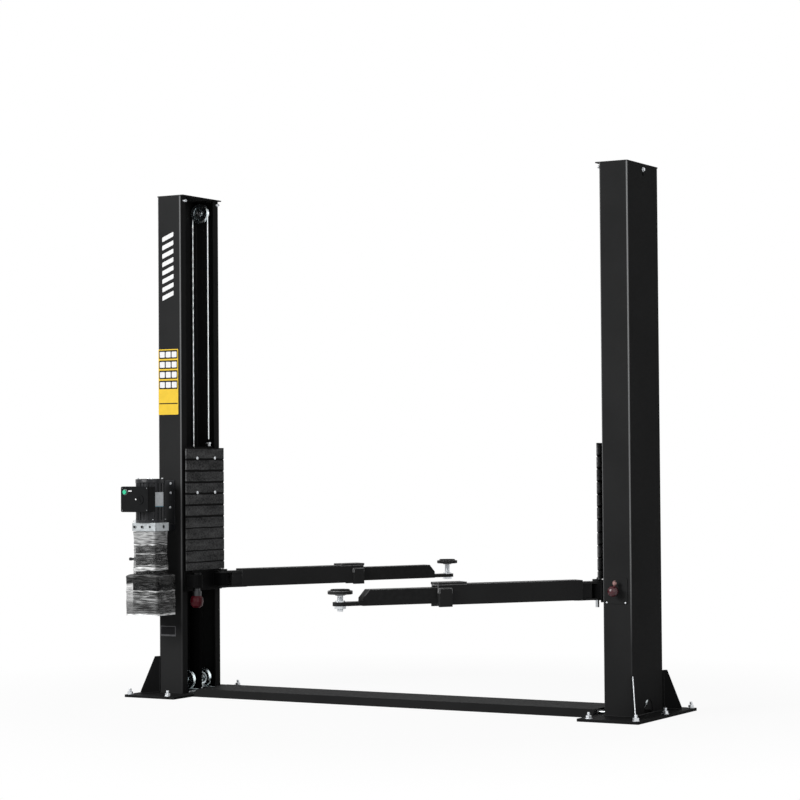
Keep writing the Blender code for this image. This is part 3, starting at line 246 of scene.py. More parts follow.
def painted(name, color, roughness, specular, grain=0.0016, depth=0.00012, edge=0.5,
            edge_wear_and_highlight_color=(0.075, 0.077, 0.079)):
    """Powder coat: a fine grain, slow clouds of tone, and edges made lighter by wear and by a painted
    highlight.
    """
    skin = Skin(name, color, roughness, specular=specular)
    mask, round_normal = skin.edges(0.0022)
    skin.set("Base Color", skin.clouded(skin.noise(0.3, 4.0), 0.1))
    # Lighter edges: partly wear, partly a painted highlight where edges catch the light.
    skin.coat(skin.math("MULTIPLY", mask, skin.patches(0.05, 3.0, 0.2, edge)), edge_wear_and_highlight_color)
    skin.set("Roughness", skin.patches(0.015, 3.0, roughness - 0.05, roughness + 0.07))
    skin.bump(skin.noise(grain, 3.0), depth, 0.6, round_normal)
    return skin


def plated(name, color, roughness, depth=0.00008, spangle=0.01):
    """Zinc plate or worked metal: soft spangle, small scratches."""
    skin = Skin(name, color, roughness, metallic=1.0)
    cells = skin.node("ShaderNodeTexVoronoi", {"Vector": skin.coordinates, "Scale": 1.0 / spangle})
    shade = skin.mix(0.5, skin.noise(0.02, 4.0), cells.outputs["Color"])
    skin.set("Base Color", skin.clouded(shade, 0.14))
    skin.set("Roughness", skin.patches(0.006, 3.0, roughness - 0.08, roughness + 0.12))
    skin.bump(skin.noise(0.0011, 2.0), depth, 0.5, skin.rounded(0.001))
    return skin


def moulded(name, color, roughness, specular=0.5, grain=0.0009, depth=0.00006, clouds=0.08):
    """Moulded plastic or rubber with a fine sparked grain."""
    skin = Skin(name, color, roughness, specular=specular)
    skin.set("Base Color", skin.clouded(skin.noise(0.03, 3.0), clouds))
    skin.set("Roughness", skin.patches(0.004, 2.0, roughness - 0.05, roughness + 0.08))
    skin.bump(skin.noise(grain, 2.0), depth, 0.6, skin.rounded(0.0012))
    return skin


def post_paint():
    """The posts' coat, with a painted highlight along their bends that grows brighter towards the top."""
    skin = painted("post_paint", (0.025, 0.0253, 0.0256), 0.52, 0.006)
    # Painted highlight: the bends are lighter, weakly at the foot and most at the top.
    height = skin.height()
    foot, rise = skin.spread(height, 0.08, 0.58, 0.35, 0.8), skin.spread(height, 0.0, 0.42, 0.8, 2.4)
    bend_highlight = skin.math("MULTIPLY", skin.along_bends(0.0056), skin.math("ADD", foot, rise))
    skin.coat(bend_highlight, (0.4, 0.405, 0.41))
    return skin


def highlight_upper_edges(skin):
    """A painted highlight along the upper edges of the arms, for the bright backdrop they reflect, fading
    out near the posts.
    """
    place = skin.vector("ABSOLUTE", skin.coordinates)
    out = skin.node("ShaderNodeSeparateXYZ", {0: place}).outputs["X"]
    free = skin.math("MULTIPLY", skin.above(0.655), skin.spread(out, 1.0, 0.1, 1.08, 1.14))
    edge = skin.math("MULTIPLY", skin.edges(0.0055)[0], free)
    share = skin.math("MULTIPLY", edge, skin.patches(0.04, 3.0, 0.35, 1.0))
    # Painted highlight: a light colour on the upper edges.
    skin.coat(share, (0.6, 0.605, 0.61))
    return skin


def guard_coat(name, color):
    """Rubbery coat of the guard panels: mottled, with painted shade in their grooves."""
    skin = Skin(name, color, 0.66, specular=0.04)
    fine, slow = skin.noise(0.01, 4.0), skin.noise(0.06, 3.0, (1.0, 2.5, 0.6))
    skin.set("Base Color", skin.clouded(skin.mix_number(0.45, fine, slow), 1.0))
    height = skin.height()
    place = skin.math("ADD", height, skin.patches(0.08, 2.0, -0.0015, 0.0015))
    phase = skin.math("SUBTRACT", place, GROOVE_FIRST - GROOVE_SPACING * 20)
    away = skin.math("PINGPONG", phase, GROOVE_SPACING / 2)
    groove = skin.math("LESS_THAN", away, skin.spread(height, 0.0034, 0.0062, 0.96, 1.0))
    # Painted shade: the grooves are coloured near black.
    skin.coat(groove, (0.006, 0.006, 0.006))
    skin.bump(fine, 0.0006, 0.7)
    return skin


def two_finishes(name, mask_of, over, under, grain=0.0014, specular=0.1):
    """One surface with two finishes, each (colour, roughness, metallic), parted by a mask."""
    skin = Skin(name, under[0], under[1], specular=specular)
    mask = mask_of(skin)
    color = skin.mix(mask, (*under[0], 1.0), (*over[0], 1.0))
    tone = skin.patches(0.02, 3.0, 0.86, 1.14)
    skin.set("Base Color", skin.scaled(color, tone))
    skin.set("Roughness", skin.mix_number(mask, under[1], over[1]))
    skin.set("Metallic", skin.mix_number(mask, under[2], over[2]))
    skin.bump(skin.noise(grain, 2.0), 0.0001, 0.6, skin.rounded(0.0014))
    return skin


def film(name, bands, specular=0.25):
    """Clear plastic film in bands, each (height, tone, cover). Its light bands and bright streaks are
    painted highlights on creases; the film is more opaque on the streaks, where it is creased or doubled.
    """
    skin = Skin(name, (0.5, 0.5, 0.5), 0.22, specular=specular)
    upright = (3.0, 3.0, 0.3)
    streaks = skin.noise(0.02, 5.0, upright)
    wobble = skin.spread(skin.noise(0.05, 3.0, (2.2, 2.2, 0.6)), -0.006, 0.006)
    place = skin.math("ADD", skin.height(), wobble)
    low, high = bands[0][0], bands[-1][0]
    ramp = skin.node("ShaderNodeValToRGB", {"Fac": skin.spread(place, 0.0, 1.0, low, high)})
    stops = ramp.color_ramp.elements
    for number, (z, tone, cover) in enumerate(bands):
        share = (z - low) / (high - low)
        stop = stops[0] if number == 0 else stops.new(share) if number < len(bands) - 1 else stops[-1]
        stop.position = share
        stop.color = (tone, tone * 1.01, tone * 1.01, cover)
    # Painted highlights: the tone rises along the crease streaks.
    lit = skin.spread(streaks, 0.35, 1.9, 0.36, 0.66)
    skin.set("Base Color", skin.scaled(ramp.outputs["Color"], lit))
    thick = skin.spread(streaks, -0.12, 0.3, 0.4, 0.66)
    skin.set("Alpha", skin.math("ADD", ramp.outputs["Alpha"], thick, use_clamp=True))
    skin.bump(skin.noise(0.01, 4.0, upright), 0.0014, 0.8)
    return skin


POST_PAINT = post_paint()
BASE_PAINT = painted("base_paint", (0.015, 0.0152, 0.0155), 0.55, 0.008, edge=0.7)
COVER_PAINT = painted("cover_paint", (0.0205, 0.0207, 0.021), 0.55, 0.01)
ARM_PAINT = highlight_upper_edges(painted("arm_paint", (0.025, 0.0252, 0.0255), 0.45, 0.04, grain=0.0022))
CARRIAGE_PAINT = painted("carriage_paint", (0.005, 0.0051, 0.0053), 0.5, 0.02)
# Black paint darkened further with painted shade, for the barrel deep inside the post.
SHADED_BARREL_PAINT = painted("shaded_barrel_paint", (0.0025, 0.0025, 0.0026), 0.55, 0.01, edge_wear_and_highlight_color=(0.01, 0.01, 0.01))
PANEL_COAT = guard_coat("panel_coat", (0.092, 0.093, 0.094))
TANK_PAINT = painted("tank_paint", (0.006, 0.0062, 0.0065), 0.34, 0.05)
UNIT_PAINT = painted("unit_paint", (0.0125, 0.0133, 0.0152), 0.32, 0.24)
ZINC = plated("zinc_plate", (0.62, 0.64, 0.66), 0.3)
SHEAVE_ZINC = plated("sheave_zinc", (0.84, 0.94, 0.98), 0.24, spangle=0.016)
DULL_ZINC = plated("dull_zinc", (0.16, 0.165, 0.17), 0.45)
BLACK_OXIDE = plated("black_oxide", (0.02, 0.02, 0.021), 0.42)
WIRE = plated("cable_wire", (0.93, 1.0, 1.0), 0.36, spangle=0.004)
CHROME = plated("chrome", (0.7, 0.71, 0.73), 0.1, depth=0.00002)
ALUMINIUM = plated("aluminium", (0.34, 0.36, 0.37), 0.42)
WELD = painted("painted_weld", (0.02, 0.0205, 0.021), 0.45, 0.06, grain=0.003, depth=0.0003)
RUBBER = moulded("black_rubber", (0.012, 0.0124, 0.0128), 0.62, 0.08)
BLACK_PLASTIC = moulded("black_plastic", (0.01, 0.0104, 0.0108), 0.45, 0.03)
RED_PLASTIC = moulded("red_plastic", (0.06, 0.007, 0.012), 0.26, 0.45)
PINK_WRAP = moulded("pink_wrap", (0.3, 0.17, 0.16), 0.3, 0.35, grain=0.004, depth=0.001, clouds=0.7)
GREEN_PLASTIC = moulded("green_plastic", (0.015, 0.52, 0.27), 0.3)
WHITE_PRINT = moulded("white_print", (0.78, 0.78, 0.78), 0.45, 0.2, clouds=0.03)
YELLOW_PRINT = moulded("yellow_print", (0.78, 0.52, 0.035), 0.42, 0.2, clouds=0.04)
BLUE_PRINT = moulded("blue_print", (0.24, 0.5, 0.62), 0.42, 0.2, clouds=0.04)
SILVER_LABEL = moulded("silver_label", (0.86, 0.9, 0.93), 0.36, 0.35, clouds=0.12)
GREY_LABEL = moulded("grey_label", (0.1, 0.1, 0.105), 0.4, 0.1, clouds=0.1)
BLACK_PRINT = moulded("black_print", (0.012, 0.012, 0.013), 0.42, 0.05)
# Painted shade for holes.
HOLE_SHADE = moulded("hole_shade", (0.002, 0.002, 0.002), 0.8, 0.02)
# The light bands of both films are painted highlights on their folds and creases.
UPPER_FILM = film("upper_film", [
    (0.69, 0.03, 0.3), (0.709, 0.04, 0.35), (0.714, 0.62, 0.95), (0.728, 0.55, 0.8), (0.732, 0.05, 0.3),
    (0.738, 0.5, 0.8), (0.743, 0.1, 0.4), (0.797, 0.11, 0.45), (0.803, 0.6, 0.95), (0.808, 0.12, 0.4),
    (0.85, 0.13, 0.55), (0.855, 0.75, 0.98), (0.86, 0.12, 0.7), (0.866, 0.3, 0.9), (0.93, 0.36, 0.95)])
LOWER_FILM = film("lower_film", [
    (0.46, 0.8, 0.98), (0.468, 0.75, 0.95), (0.474, 0.12, 0.7), (0.5, 0.1, 0.62), (0.534, 0.13, 0.6),
    (0.54, 0.3, 0.44), (0.594, 0.26, 0.42), (0.599, 0.7, 0.9), (0.603, 0.06, 0.18), (0.63, 0.06, 0.12),
    (0.642, 0.015, 0.8), (0.676, 0.015, 0.85), (0.682, 0.14, 0.85), (0.692, 0.03, 0.9)], specular=0.14)


def spare_pin_finish():
    """A red cap, bare steel over it, and the steel above darkened with painted shade inside the bracket."""
    skin = two_finishes("capped_pin", lambda skin: skin.above(0.5602), ((0.05, 0.051, 0.053), 0.34, 1.0),
                        ((0.06, 0.003, 0.007), 0.3, 0.0), specular=0.14)
    # Painted shade inside the bracket.
    skin.coat(skin.above(0.6), (0.012, 0.0122, 0.0125))
    return skin


def arm_pin_finish():
    """A black head on a bright shank."""
    return two_finishes("arm_pin", lambda skin: skin.above(0.68),
                        ((0.014, 0.0142, 0.0145), 0.45, 0.0), ((0.5, 0.52, 0.54), 0.3, 1.0))


def inner_arm_finish(side):
    """Paint with a painted highlight along its upper edges, and bare zinc on the fittings round the pad's
    screw.
    """
    turn = SIDES[side].to_3x3() @ Matrix.Rotation(ARM_HEADINGS[side], 3, "Z")
    axis = SIDES[side].to_3x3() @ PIVOT + turn @ Vector((PAD_REACHES[side], 0, 0))

    def fittings(skin):
        tab = skin.math("SUBTRACT", skin.above(0.6072), skin.above(0.6265))
        near = skin.near_axis(axis.x, axis.y, 0.0295)
        return skin.math("SUBTRACT", near, tab, use_clamp=True)

    return highlight_upper_edges(two_finishes(f"{side}_inner_arm", fittings, ((0.66, 0.68, 0.7), 0.3, 1.0),
                                         ((0.02, 0.0202, 0.0205), 0.42, 0.0), 0.002, 0.04))


FINISHES = {
    "post": POST_PAINT, "top_plate": POST_PAINT, "lock_cover": POST_PAINT, "base_plate": BASE_PAINT,
    "release_knob": RED_PLASTIC, "top_sheave_bracket": CARRIAGE_PAINT, "floor_sheave_bracket": DULL_ZINC,
    "top_sheave": SHEAVE_ZINC, "near_floor_sheave": SHEAVE_ZINC, "far_floor_sheave": SHEAVE_ZINC,
    "cable": WIRE, "cylinder_barrel": SHADED_BARREL_PAINT, "cylinder_rod": CHROME,
    "carriage": CARRIAGE_PAINT, "guard_panel": PANEL_COAT, "arm_outer": ARM_PAINT,
}
UNIT_FINISHES = {"floor_cover": COVER_PAINT, "unit_bracket": UNIT_PAINT, "valve_block": ALUMINIUM,
                 "motor": UNIT_PAINT, "control_box": BLACK_PLASTIC, "start_button": GREEN_PLASTIC}


def give_finish(node, skin):
    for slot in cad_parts[node].material_slots:
        slot.material = skin.material


def finish_nodes():
    """Gives every CAD node that stays in view its material."""
    pins = {"spare_pin": spare_pin_finish(), "arm_pin": arm_pin_finish()}
    for side in SIDES:
        for name, skin in (FINISHES | pins).items():
            give_finish(f"{side}_{name}", skin)
        give_finish(f"{side}_arm_inner", inner_arm_finish(side))
    for name, skin in UNIT_FINISHES.items():
        give_finish(name, skin)


# Mesh helpers: each adds a form to a bmesh, in the place that a matrix gives

def at(x, y, z):
    """A place that isn't turned."""
    return Matrix.Translation((x, y, z))


def facing(point, normal, spin=0.0):
    """A place whose +Z looks along the normal."""
    turn = Vector(normal).to_track_quat("Z", "Y").to_matrix().to_4x4()
    return Matrix.Translation(point) @ turn @ Matrix.Rotation(spin, 4, "Z")


def front_place(x, z, y):
    """A place on a face that looks along -Y."""
    return facing((x, y, z), (0, -1, 0))


def join_rings(bm, rings, closed=False):
    """Faces from ring to ring, all with one number of points, and perhaps over both ends."""
    for lower, upper in zip(rings, rings[1:]):
        for step in range(len(lower)):
            after = (step + 1) % len(lower)
            bm.faces.new((lower[step], lower[after], upper[after], upper[step]))
    if closed:
        bm.faces.new(list(reversed(rings[0])))
        bm.faces.new(rings[-1])


def turned_point(bm, place, radius, angle, height):
    return bm.verts.new(place @ Vector((radius * cos(angle), radius * sin(angle), height)))


def add_turned(bm, profile, place, steps=24, shape=None):
    """A profile of (radius, height) turned about +Z. Where shape is given, it moves each height."""
    rings = []
    for radius, height in profile:
        ring = []
        for step in range(steps if radius > 1e-6 else 1):
            angle = 2 * pi * step / steps
            drop = shape(radius, height, angle) if shape else 0.0
            ring.append(turned_point(bm, place, radius, angle, height - drop))
        rings.append(ring)
    for lower, upper in zip(rings, rings[1:]):
        for step in range(steps):
            after = (step + 1) % steps
            corners = list(dict.fromkeys((lower[step % len(lower)], lower[after % len(lower)],
                                          upper[after % len(upper)], upper[step % len(upper)])))
            if len(corners) > 2:
                bm.faces.new(corners)


def add_prism(bm, corners, low, high, place, bevel=0.0):
    """An outline in the place's XY plane, pushed up from low to high, its top edge perhaps cut off."""
    edge = [Vector((x, y, 0)) for x, y in corners]
    middle = sum(edge, Vector()) / len(edge)
    levels = [(low, 0.0), (high - bevel, 0.0), (high, bevel)] if bevel else [(low, 0.0), (high, 0.0)]
    rings = []
    for height, inset in levels:
        lift = Vector((0, 0, height))
        rings.append([bm.verts.new(place @ (corner + (middle - corner).normalized() * inset + lift))
                      for corner in edge])
    join_rings(bm, rings, True)


def rectangle(width, height, corner=0.0, steps=4):
    """A rectangle's outline about its middle, with round corners."""
    points = []
    for quarter, (x, y) in enumerate(((1, 1), (-1, 1), (-1, -1), (1, -1))):
        centre = Vector((x * (width / 2 - corner), y * (height / 2 - corner)))
        for step in range(steps + 1 if corner else 1):
            angle = (quarter + step / steps) * pi / 2
            points.append((centre.x + corner * cos(angle), centre.y + corner * sin(angle)))
    return points


def polygon(sides, radius, more=0):
    """Points round a circle, and perhaps one more to close it."""
    angles = [2 * pi * n / sides for n in range(sides + more)]
    return [(radius * cos(a), radius * sin(a)) for a in angles]


def add_tube(bm, path, radius, sides=8, shape=None):
    """A tube along a path. Where shape is given, it scales the radius by length and angle."""
    path = [Vector(point) for point in path]
    rings = []
    travelled = 0.0
    across = None
    for before, point, after in zip(path[:1] + path, path, path[1:] + path[-1:]):
        along = (after - before).normalized()
        if across is None:
            across = along.orthogonal().normalized()
        across = (across - along * across.dot(along)).normalized()
        other = along.cross(across)
        travelled += (point - before).length
        ring = []
        for side in range(sides):
            angle = 2 * pi * side / sides
            size = radius * (shape(travelled, angle) if shape else 1.0)
            ring.append(bm.verts.new(point + (across * cos(angle) + other * sin(angle)) * size))
        rings.append(ring)
    join_rings(bm, rings, True)


def evenly(path, step):
    """The path again, with points at even steps."""
    path = [Vector(point) for point in path]
    points = [path[0]]
    for start, end in zip(path, path[1:]):
        count = max(1, ceil((end - start).length / step))
        points += [start.lerp(end, n / count) for n in range(1, count + 1)]
    return points


def add_weld(bm, path, radius=0.0026):
    """A weld bead with the ripple of its puddles."""
    def ripple(travelled, angle):
        place = travelled / 0.006
        return 0.86 + 0.18 * abs(sin(pi * place)) + 0.1 * noise.noise(Vector((place, 0.3, radius * 900)))

    add_tube(bm, evenly(path, 0.003), radius, 7, ripple)


def add_bolt(bm, place, across, height, washer=0.0):
    """A hex bolt's head on its washer, standing on the place's XY plane."""
    low = 0.0
    if washer:
        low = 0.0018
        add_turned(bm, [(0, 0), (washer, 0), (washer, 0.0014), (washer - 0.0004, low), (0, low)], place, 20)
    add_prism(bm, polygon(6, across / 2 / cos(pi / 6)), low, low + height, place, 0.0011)


def add_dome(bm, place, radius, height):
    """A button head with its socket."""
    shares = ((0, 0), (1, 0), (1, 0.25), (0.88, 0.7), (0.62, 1), (0.42, 1), (0.4, 0.45), (0, 0.45))
    add_turned(bm, [(radius * out, height * up) for out, up in shares], place, 20)


def add_thread(bm, place, radius, depth, pitch, low, high, steps=20):
    """A screw's core and the thread wound on it."""
    core = radius - depth
    root = core - depth / 2
    profile = [(0, low), (core - depth, low), (core, low + depth), (core, high), (0, high)]
    add_turned(bm, profile, place, steps)
    count = floor((high - low - pitch * 1.5) / pitch * steps)
    rings = []
    for step in range(count + 1):
        angle = 2 * pi * step / steps
        fade = min(1.0, step / steps, (count - step) / steps)
        z = low + pitch * (0.3 + step / steps)
        rings.append([turned_point(bm, place, root + (out - root) * fade, angle, z + pitch * share)
                      for out, share in ((root, 0.06), (radius, 0.36), (radius, 0.58), (root, 0.88))])
    for first, second in zip(rings, rings[1:]):
        for a in range(3):
            bm.faces.new((first[a], first[a + 1], second[a + 1], second[a]))


def put(name, data):
    """An object of the scene that holds this data."""
    holder = bpy.data.objects.new(name, data)
    bpy.context.scene.collection.objects.link(holder)
    return holder


def add_mesh(name, bm, *materials):
    mesh = bpy.data.meshes.new(name)
    bm.to_mesh(mesh)
    bm.free()
    for material in materials:
        mesh.materials.append(material)
    return put(name, mesh)


def add_piece(name, bm, skin, sharp=35.0, body="root", turn=None):
    """A piece of the scene from a bmesh, smooth but for its sharp edges, riding on a body."""
    bmesh.ops.recalc_face_normals(bm, faces=bm.faces)
    if turn:
        bm.transform(turn)
    piece = add_mesh(name, bm, skin.material)
    piece.data.shade_smooth()
    piece.data.set_sharp_from_angle(angle=radians(sharp))
    if body:
        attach(piece, body)
    return piece


def add_sided(side, name, bm, skin, sharp=35.0, body="root"):
    """A piece that is laid out for the right post, put on its own side."""
    return add_piece(f"{side}_{name}", bm, skin, sharp, body, SIDES[side])


# Structure

def add_anchors(side):
    """Anchor bolts with washer, nut and threaded stud on the base plates."""
    bm = bmesh.new()
    end = BASE_HIGH.y - ANCHOR_INSET
    near, far = BASE_LOW.x + ANCHOR_FROM_INSIDE, BASE_HIGH.x - ANCHOR_INSET
    places = ((near, -end), (near, end), (far, -end), (far, end), (far, ANCHOR_OFFSET))
    for number, (x, y) in enumerate(places):
        place = at(x, y, PLATE_TOP + 0.0003) @ Matrix.Rotation(number * 1.3, 4, "Z")
        add_turned(bm, [(0, 0), (0.0185, 0), (0.0185, 0.0026), (0.0176, 0.0032), (0, 0.0032)], place)
        add_prism(bm, polygon(6, 0.0155), 0.0032, 0.0165, place, 0.0015)
        add_thread(bm, place, 0.0084, 0.001, 0.0026, 0.015, 0.0325, 18)
    add_sided(side, "anchor_bolts", bm, ZINC)


def gusset(end):
    """Where a gusset starts at the post's corner, and the way it runs over the base plate."""
    corner = Vector((POST_HIGH.x - 0.003, end * (POST_HIGH.y - 0.003), 0))
    return corner, (Vector((BASE_HIGH.x, end * BASE_HIGH.y, 0)) - corner).normalized()


def add_structure_welds(side):
    """Beads round the post's foot and along its gussets, and a bright strip as a painted highlight on one
    gusset's edge.
    """
    bm = bmesh.new()
    low, high, half = POST_LOW.x, POST_HIGH.x, POST_HIGH.y
    z = PLATE_TOP + 0.0015
    foot = [(low, half - 0.004), (low + 0.004, half), (high - 0.01, half), (high - 0.002, half - 0.003),
            (high, half - 0.01)]
    add_weld(bm, [(x, y, z) for x, y in foot] + [(x, -y, z) for x, y in reversed(foot)], 0.0035)
    for end in (-1, 1):
        corner, run = gusset(end)
        for flank in (-0.0045, 0.0045):
            foot = corner + run * 0.006 + Vector((-run.y, run.x, 0)) * flank
            add_weld(bm, [foot + Vector((0, 0, z + 0.19)), foot + Vector((0, 0, z + 0.004)),
                          foot + run * 0.106 + Vector((0, 0, z))], 0.003)
    add_sided(side, "foot_welds", bm, WELD, 60)
    # Painted highlight: a zinc strip along the near gusset's sloping edge.
    bare = bmesh.new()
    corner, run = gusset(-1)
    add_tube(bare, [corner + run * out + Vector((0, 0, z)) for out, z in ((0.031, 0.219), (0.117, 0.028))],
             0.0026, 6)
    add_sided(side, "gusset_edge_highlight", bare, ZINC)


def add_post_fittings(side):
    """The bolts that show on the post: under its top plate, in its web and on the lock cover; and a black
    disc as painted shade in a hole of the web.
    """
    bm = bmesh.new()
    for y, z in ((-0.176, 2.794), (0.149, 2.79)):
        flat = facing((POST_LOW.x, y, z), (-1, 0, 0)) @ Matrix.Diagonal((1.15, 0.6, 1.3, 1.0))
        add_dome(bm, flat, 0.015, 0.008)
    add_bolt(bm, facing((POST_HIGH.x, 0.005, 2.79), (1, 0, 0), 0.4), 0.016, 0.007, 0.0115)
    for x in (1.3226, 1.4252):
        add_dome(bm, facing((x, LOCK_LOW.y, 0.5862), (0, -1, 0)), 0.0052, 0.003)
    add_sided(side, "post_bolts", bm, ZINC)
    # Painted shade: a thin black disc for the dark inside of the hole.
    hole = bmesh.new()
    add_turned(hole, [(0, 0), (0.008, 0), (0.008, 0.0004), (0, 0.0004)],
               facing((POST_HIGH.x, 0.005, 2.765), (1, 0, 0)), 20)
    add_sided(side, "web_hole_shade", hole, HOLE_SHADE)


def add_cover_bolts(side):
    """Small bolts that hold the floor cover's end to the floor plate."""
    bm = bmesh.new()
    low = PLATE_TOP + 0.0002
    for x, y in ((BASE_LOW.x + 0.012, -0.252), (1.304, -0.004)):
        place = at(x, y, low)
        add_bolt(bm, place, 0.013, 0.007, 0.01)
        add_thread(bm, place, 0.004, 0.0005, 0.0016, 0.008, 0.019, 14)
    add_prism(bm, rectangle(0.008, 0.086, 0.001), 0.0, 0.01, at(1.297, 0.089, low), 0.0008)
    add_sided(side, "cover_bolts", bm, ZINC)


def add_sheaves(side):
    """The sheaves with round rims and a round groove under the cable."""
    turns = [radians(80 - 20 * n) for n in range(9)]
    groove = [(PITCH_RADIUS - 0.0054 * cos(a), 0.0054 * sin(a)) for a in turns]
    upper = [(0.0103, 0.0105), (0.0108, 0.011), (0.018, 0.011), (0.0195, 0.0064), (0.0205, 0.006),
             (0.0355, 0.006), (0.0365, 0.0064), (0.038, 0.011), (0.0547, 0.011), (0.0555, 0.0102),
             (0.0555, 0.009), (0.0549, 0.0082)]
    outline = upper + groove + [(radius, -height) for radius, height in reversed(upper)]
    for name, y, z in (("top", NEAR_CABLE, TOP_SHEAVE_Z), ("near_floor", NEAR_CABLE, FLOOR_SHEAVE_Z),
                       ("far_floor", FAR_CABLE, FLOOR_SHEAVE_Z)):
        bm = bmesh.new()
        add_turned(bm, [*outline, outline[0]], facing((SHEAVE_X, y, z), (0, 1, 0)), 64)
        bmesh.ops.remove_doubles(bm, verts=bm.verts, dist=1e-6)
        body = f"{side}_{name}_sheave"
        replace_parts(add_sided(side, f"{name}_sheave_wheel", bm, SHEAVE_ZINC, 30, body), body)


def add_axle_ends(side):
    """A snap ring and a centre mark on each sheave axle's head, and a bead round its fixed end."""
    bm, welds = bmesh.new(), bmesh.new()
    for y, z in ((NEAR_CABLE, TOP_SHEAVE_Z), (NEAR_CABLE, FLOOR_SHEAVE_Z), (FAR_CABLE, FLOOR_SHEAVE_Z)):
        head = facing((SHEAVE_X, y + 0.0165, z), (0, 1, 0))
        add_turned(bm, [(0, 0), (0.012, 0), (0.0126, 0.0005), (0.012, 0.0014), (0.0086, 0.0014),
                        (0.0078, 0.0006), (0.003, 0.0006), (0.0012, 0.0002), (0, 0.0002)], head)
        add_weld(welds, [(SHEAVE_X + x, y - 0.0225, z + up) for x, up in polygon(24, 0.0112, 1)], 0.0022)
    add_sided(side, "axle_ends", bm, ZINC)
    add_sided(side, "axle_welds", welds, CARRIAGE_PAINT, sharp=60)


# Labels, all without words or signs

def add_label(name, skin, low, high, lift=0.0004, lean=0.0, corner=0.003, thick=0.0004):
    """A thin plate on the left post's front flange, between two (x, z) corners."""
    width, height = high[0] - low[0], high[1] - low[1]
    outline = [(x, y + lean * x / width) for x, y in rectangle(width, height, corner)]
    bm = bmesh.new()
    place = front_place((low[0] + high[0]) / 2, (low[1] + high[1]) / 2, POST_LOW.y - lift)
    add_prism(bm, outline, 0.0, thick, place, thick / 3)
    add_piece(name, bm, skin)


def add_post_labels():
    """On the left post: slanted bars, a plain sticker in bands, and a blank plate."""
    for number in range(8):
        top = 2.598 - number * 0.0475
        add_label(f"post_bar_{number + 1}", WHITE_PRINT, (-1.423, top - 0.026), (-1.346, top), lean=0.03,
                  corner=0.004)
    add_label("sticker_ground", YELLOW_PRINT, (-1.453, 1.58), (-1.317, 1.95), corner=0.005)
    left, right = -1.448, -1.322
    for number in range(4):
        top = 1.944 - number * 0.057
        add_label(f"sticker_band_{number + 1}", BLACK_PRINT, (left, top - 0.048), (right, top), 0.0008)
        for part in range(3):
            start = left + 0.005 + part * 0.041
            add_label(f"sticker_panel_{number + 1}_{part + 1}", WHITE_PRINT, (start, top - 0.041),
                      (start + 0.034, top - 0.008), 0.0012, corner=0.004)
    add_label("sticker_line", BLACK_PRINT, (left, 1.64), (right, 1.646), 0.0008, corner=0.001)
    add_label("blank_plate", GREY_LABEL, (left, 0.333), (-1.342, 0.391), corner=0.004, thick=0.001)
    add_label("blank_plate_band", BLACK_PRINT, (left + 0.005, 0.343), (-1.347, 0.386), 0.0014)


# Cables

def arc(x, z, start, end, y):
    """The cable's middle line round a sheave, in steps of 5 degrees."""
    count = round(abs(end - start) / radians(5))
    angles = [start + (end - start) * n / count for n in range(count + 1)]
    return [(x + PITCH_RADIUS * cos(a), y, z + PITCH_RADIUS * sin(a)) for a in angles]


def add_rope(name, path, side, body, step=0.0045):
    """A wire rope: its strands wind round it as lobes of its section."""
    def lobes(travelled, angle):
        return 1.0 - 0.1 * (1 + cos(STRANDS * (angle - 2 * pi * travelled / LAY_LENGTH)))

    bm = bmesh.new()
    add_tube(bm, evenly(path, step), CABLE_RADIUS, STRANDS * 3, lobes)
    return add_sided(side, name, bm, WIRE, 80, body)


def add_cables(side):
    """The cable over its sheaves, and its two straight runs that take the place of the CAD runs."""
    over = arc(SHEAVE_X, TOP_SHEAVE_Z, pi, 0, NEAR_CABLE)
    under = arc(SHEAVE_X, FLOOR_SHEAVE_Z, 0, -pi / 2, NEAR_CABLE)
    rising = arc(-SHEAVE_X, FLOOR_SHEAVE_Z, -pi / 2, -pi, -FAR_CABLE)
    start = (SHEAVE_X - PITCH_RADIUS, NEAR_CABLE, TOP_SHEAVE_Z - 0.02)
    end = (-SHEAVE_X - PITCH_RADIUS, -FAR_CABLE, FLOOR_SHEAVE_Z + 0.02)
    cable = add_rope("wire_rope", [start, *over, *under, *rising, end], side, "root", 0.009)
    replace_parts(cable, f"{side}_cable")
    runs = {"upper": (SHEAVE_X - PITCH_RADIUS, NEAR_CABLE, TOP_SHEAVE_Z - 0.02, 1.443),
            "lower": (SHEAVE_X + PITCH_RADIUS, FAR_CABLE, FLOOR_SHEAVE_Z + 0.02, 0.617)}
    for name, (x, y, fixed, moving) in runs.items():
        ends = [Vector((x, y, fixed)), Vector((x, y, moving))]
        piece = add_rope(f"{name}_run", ends, side, None)
        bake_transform(piece)
        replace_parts(piece, f"{side}_cable_{name}_run")


# Carriages

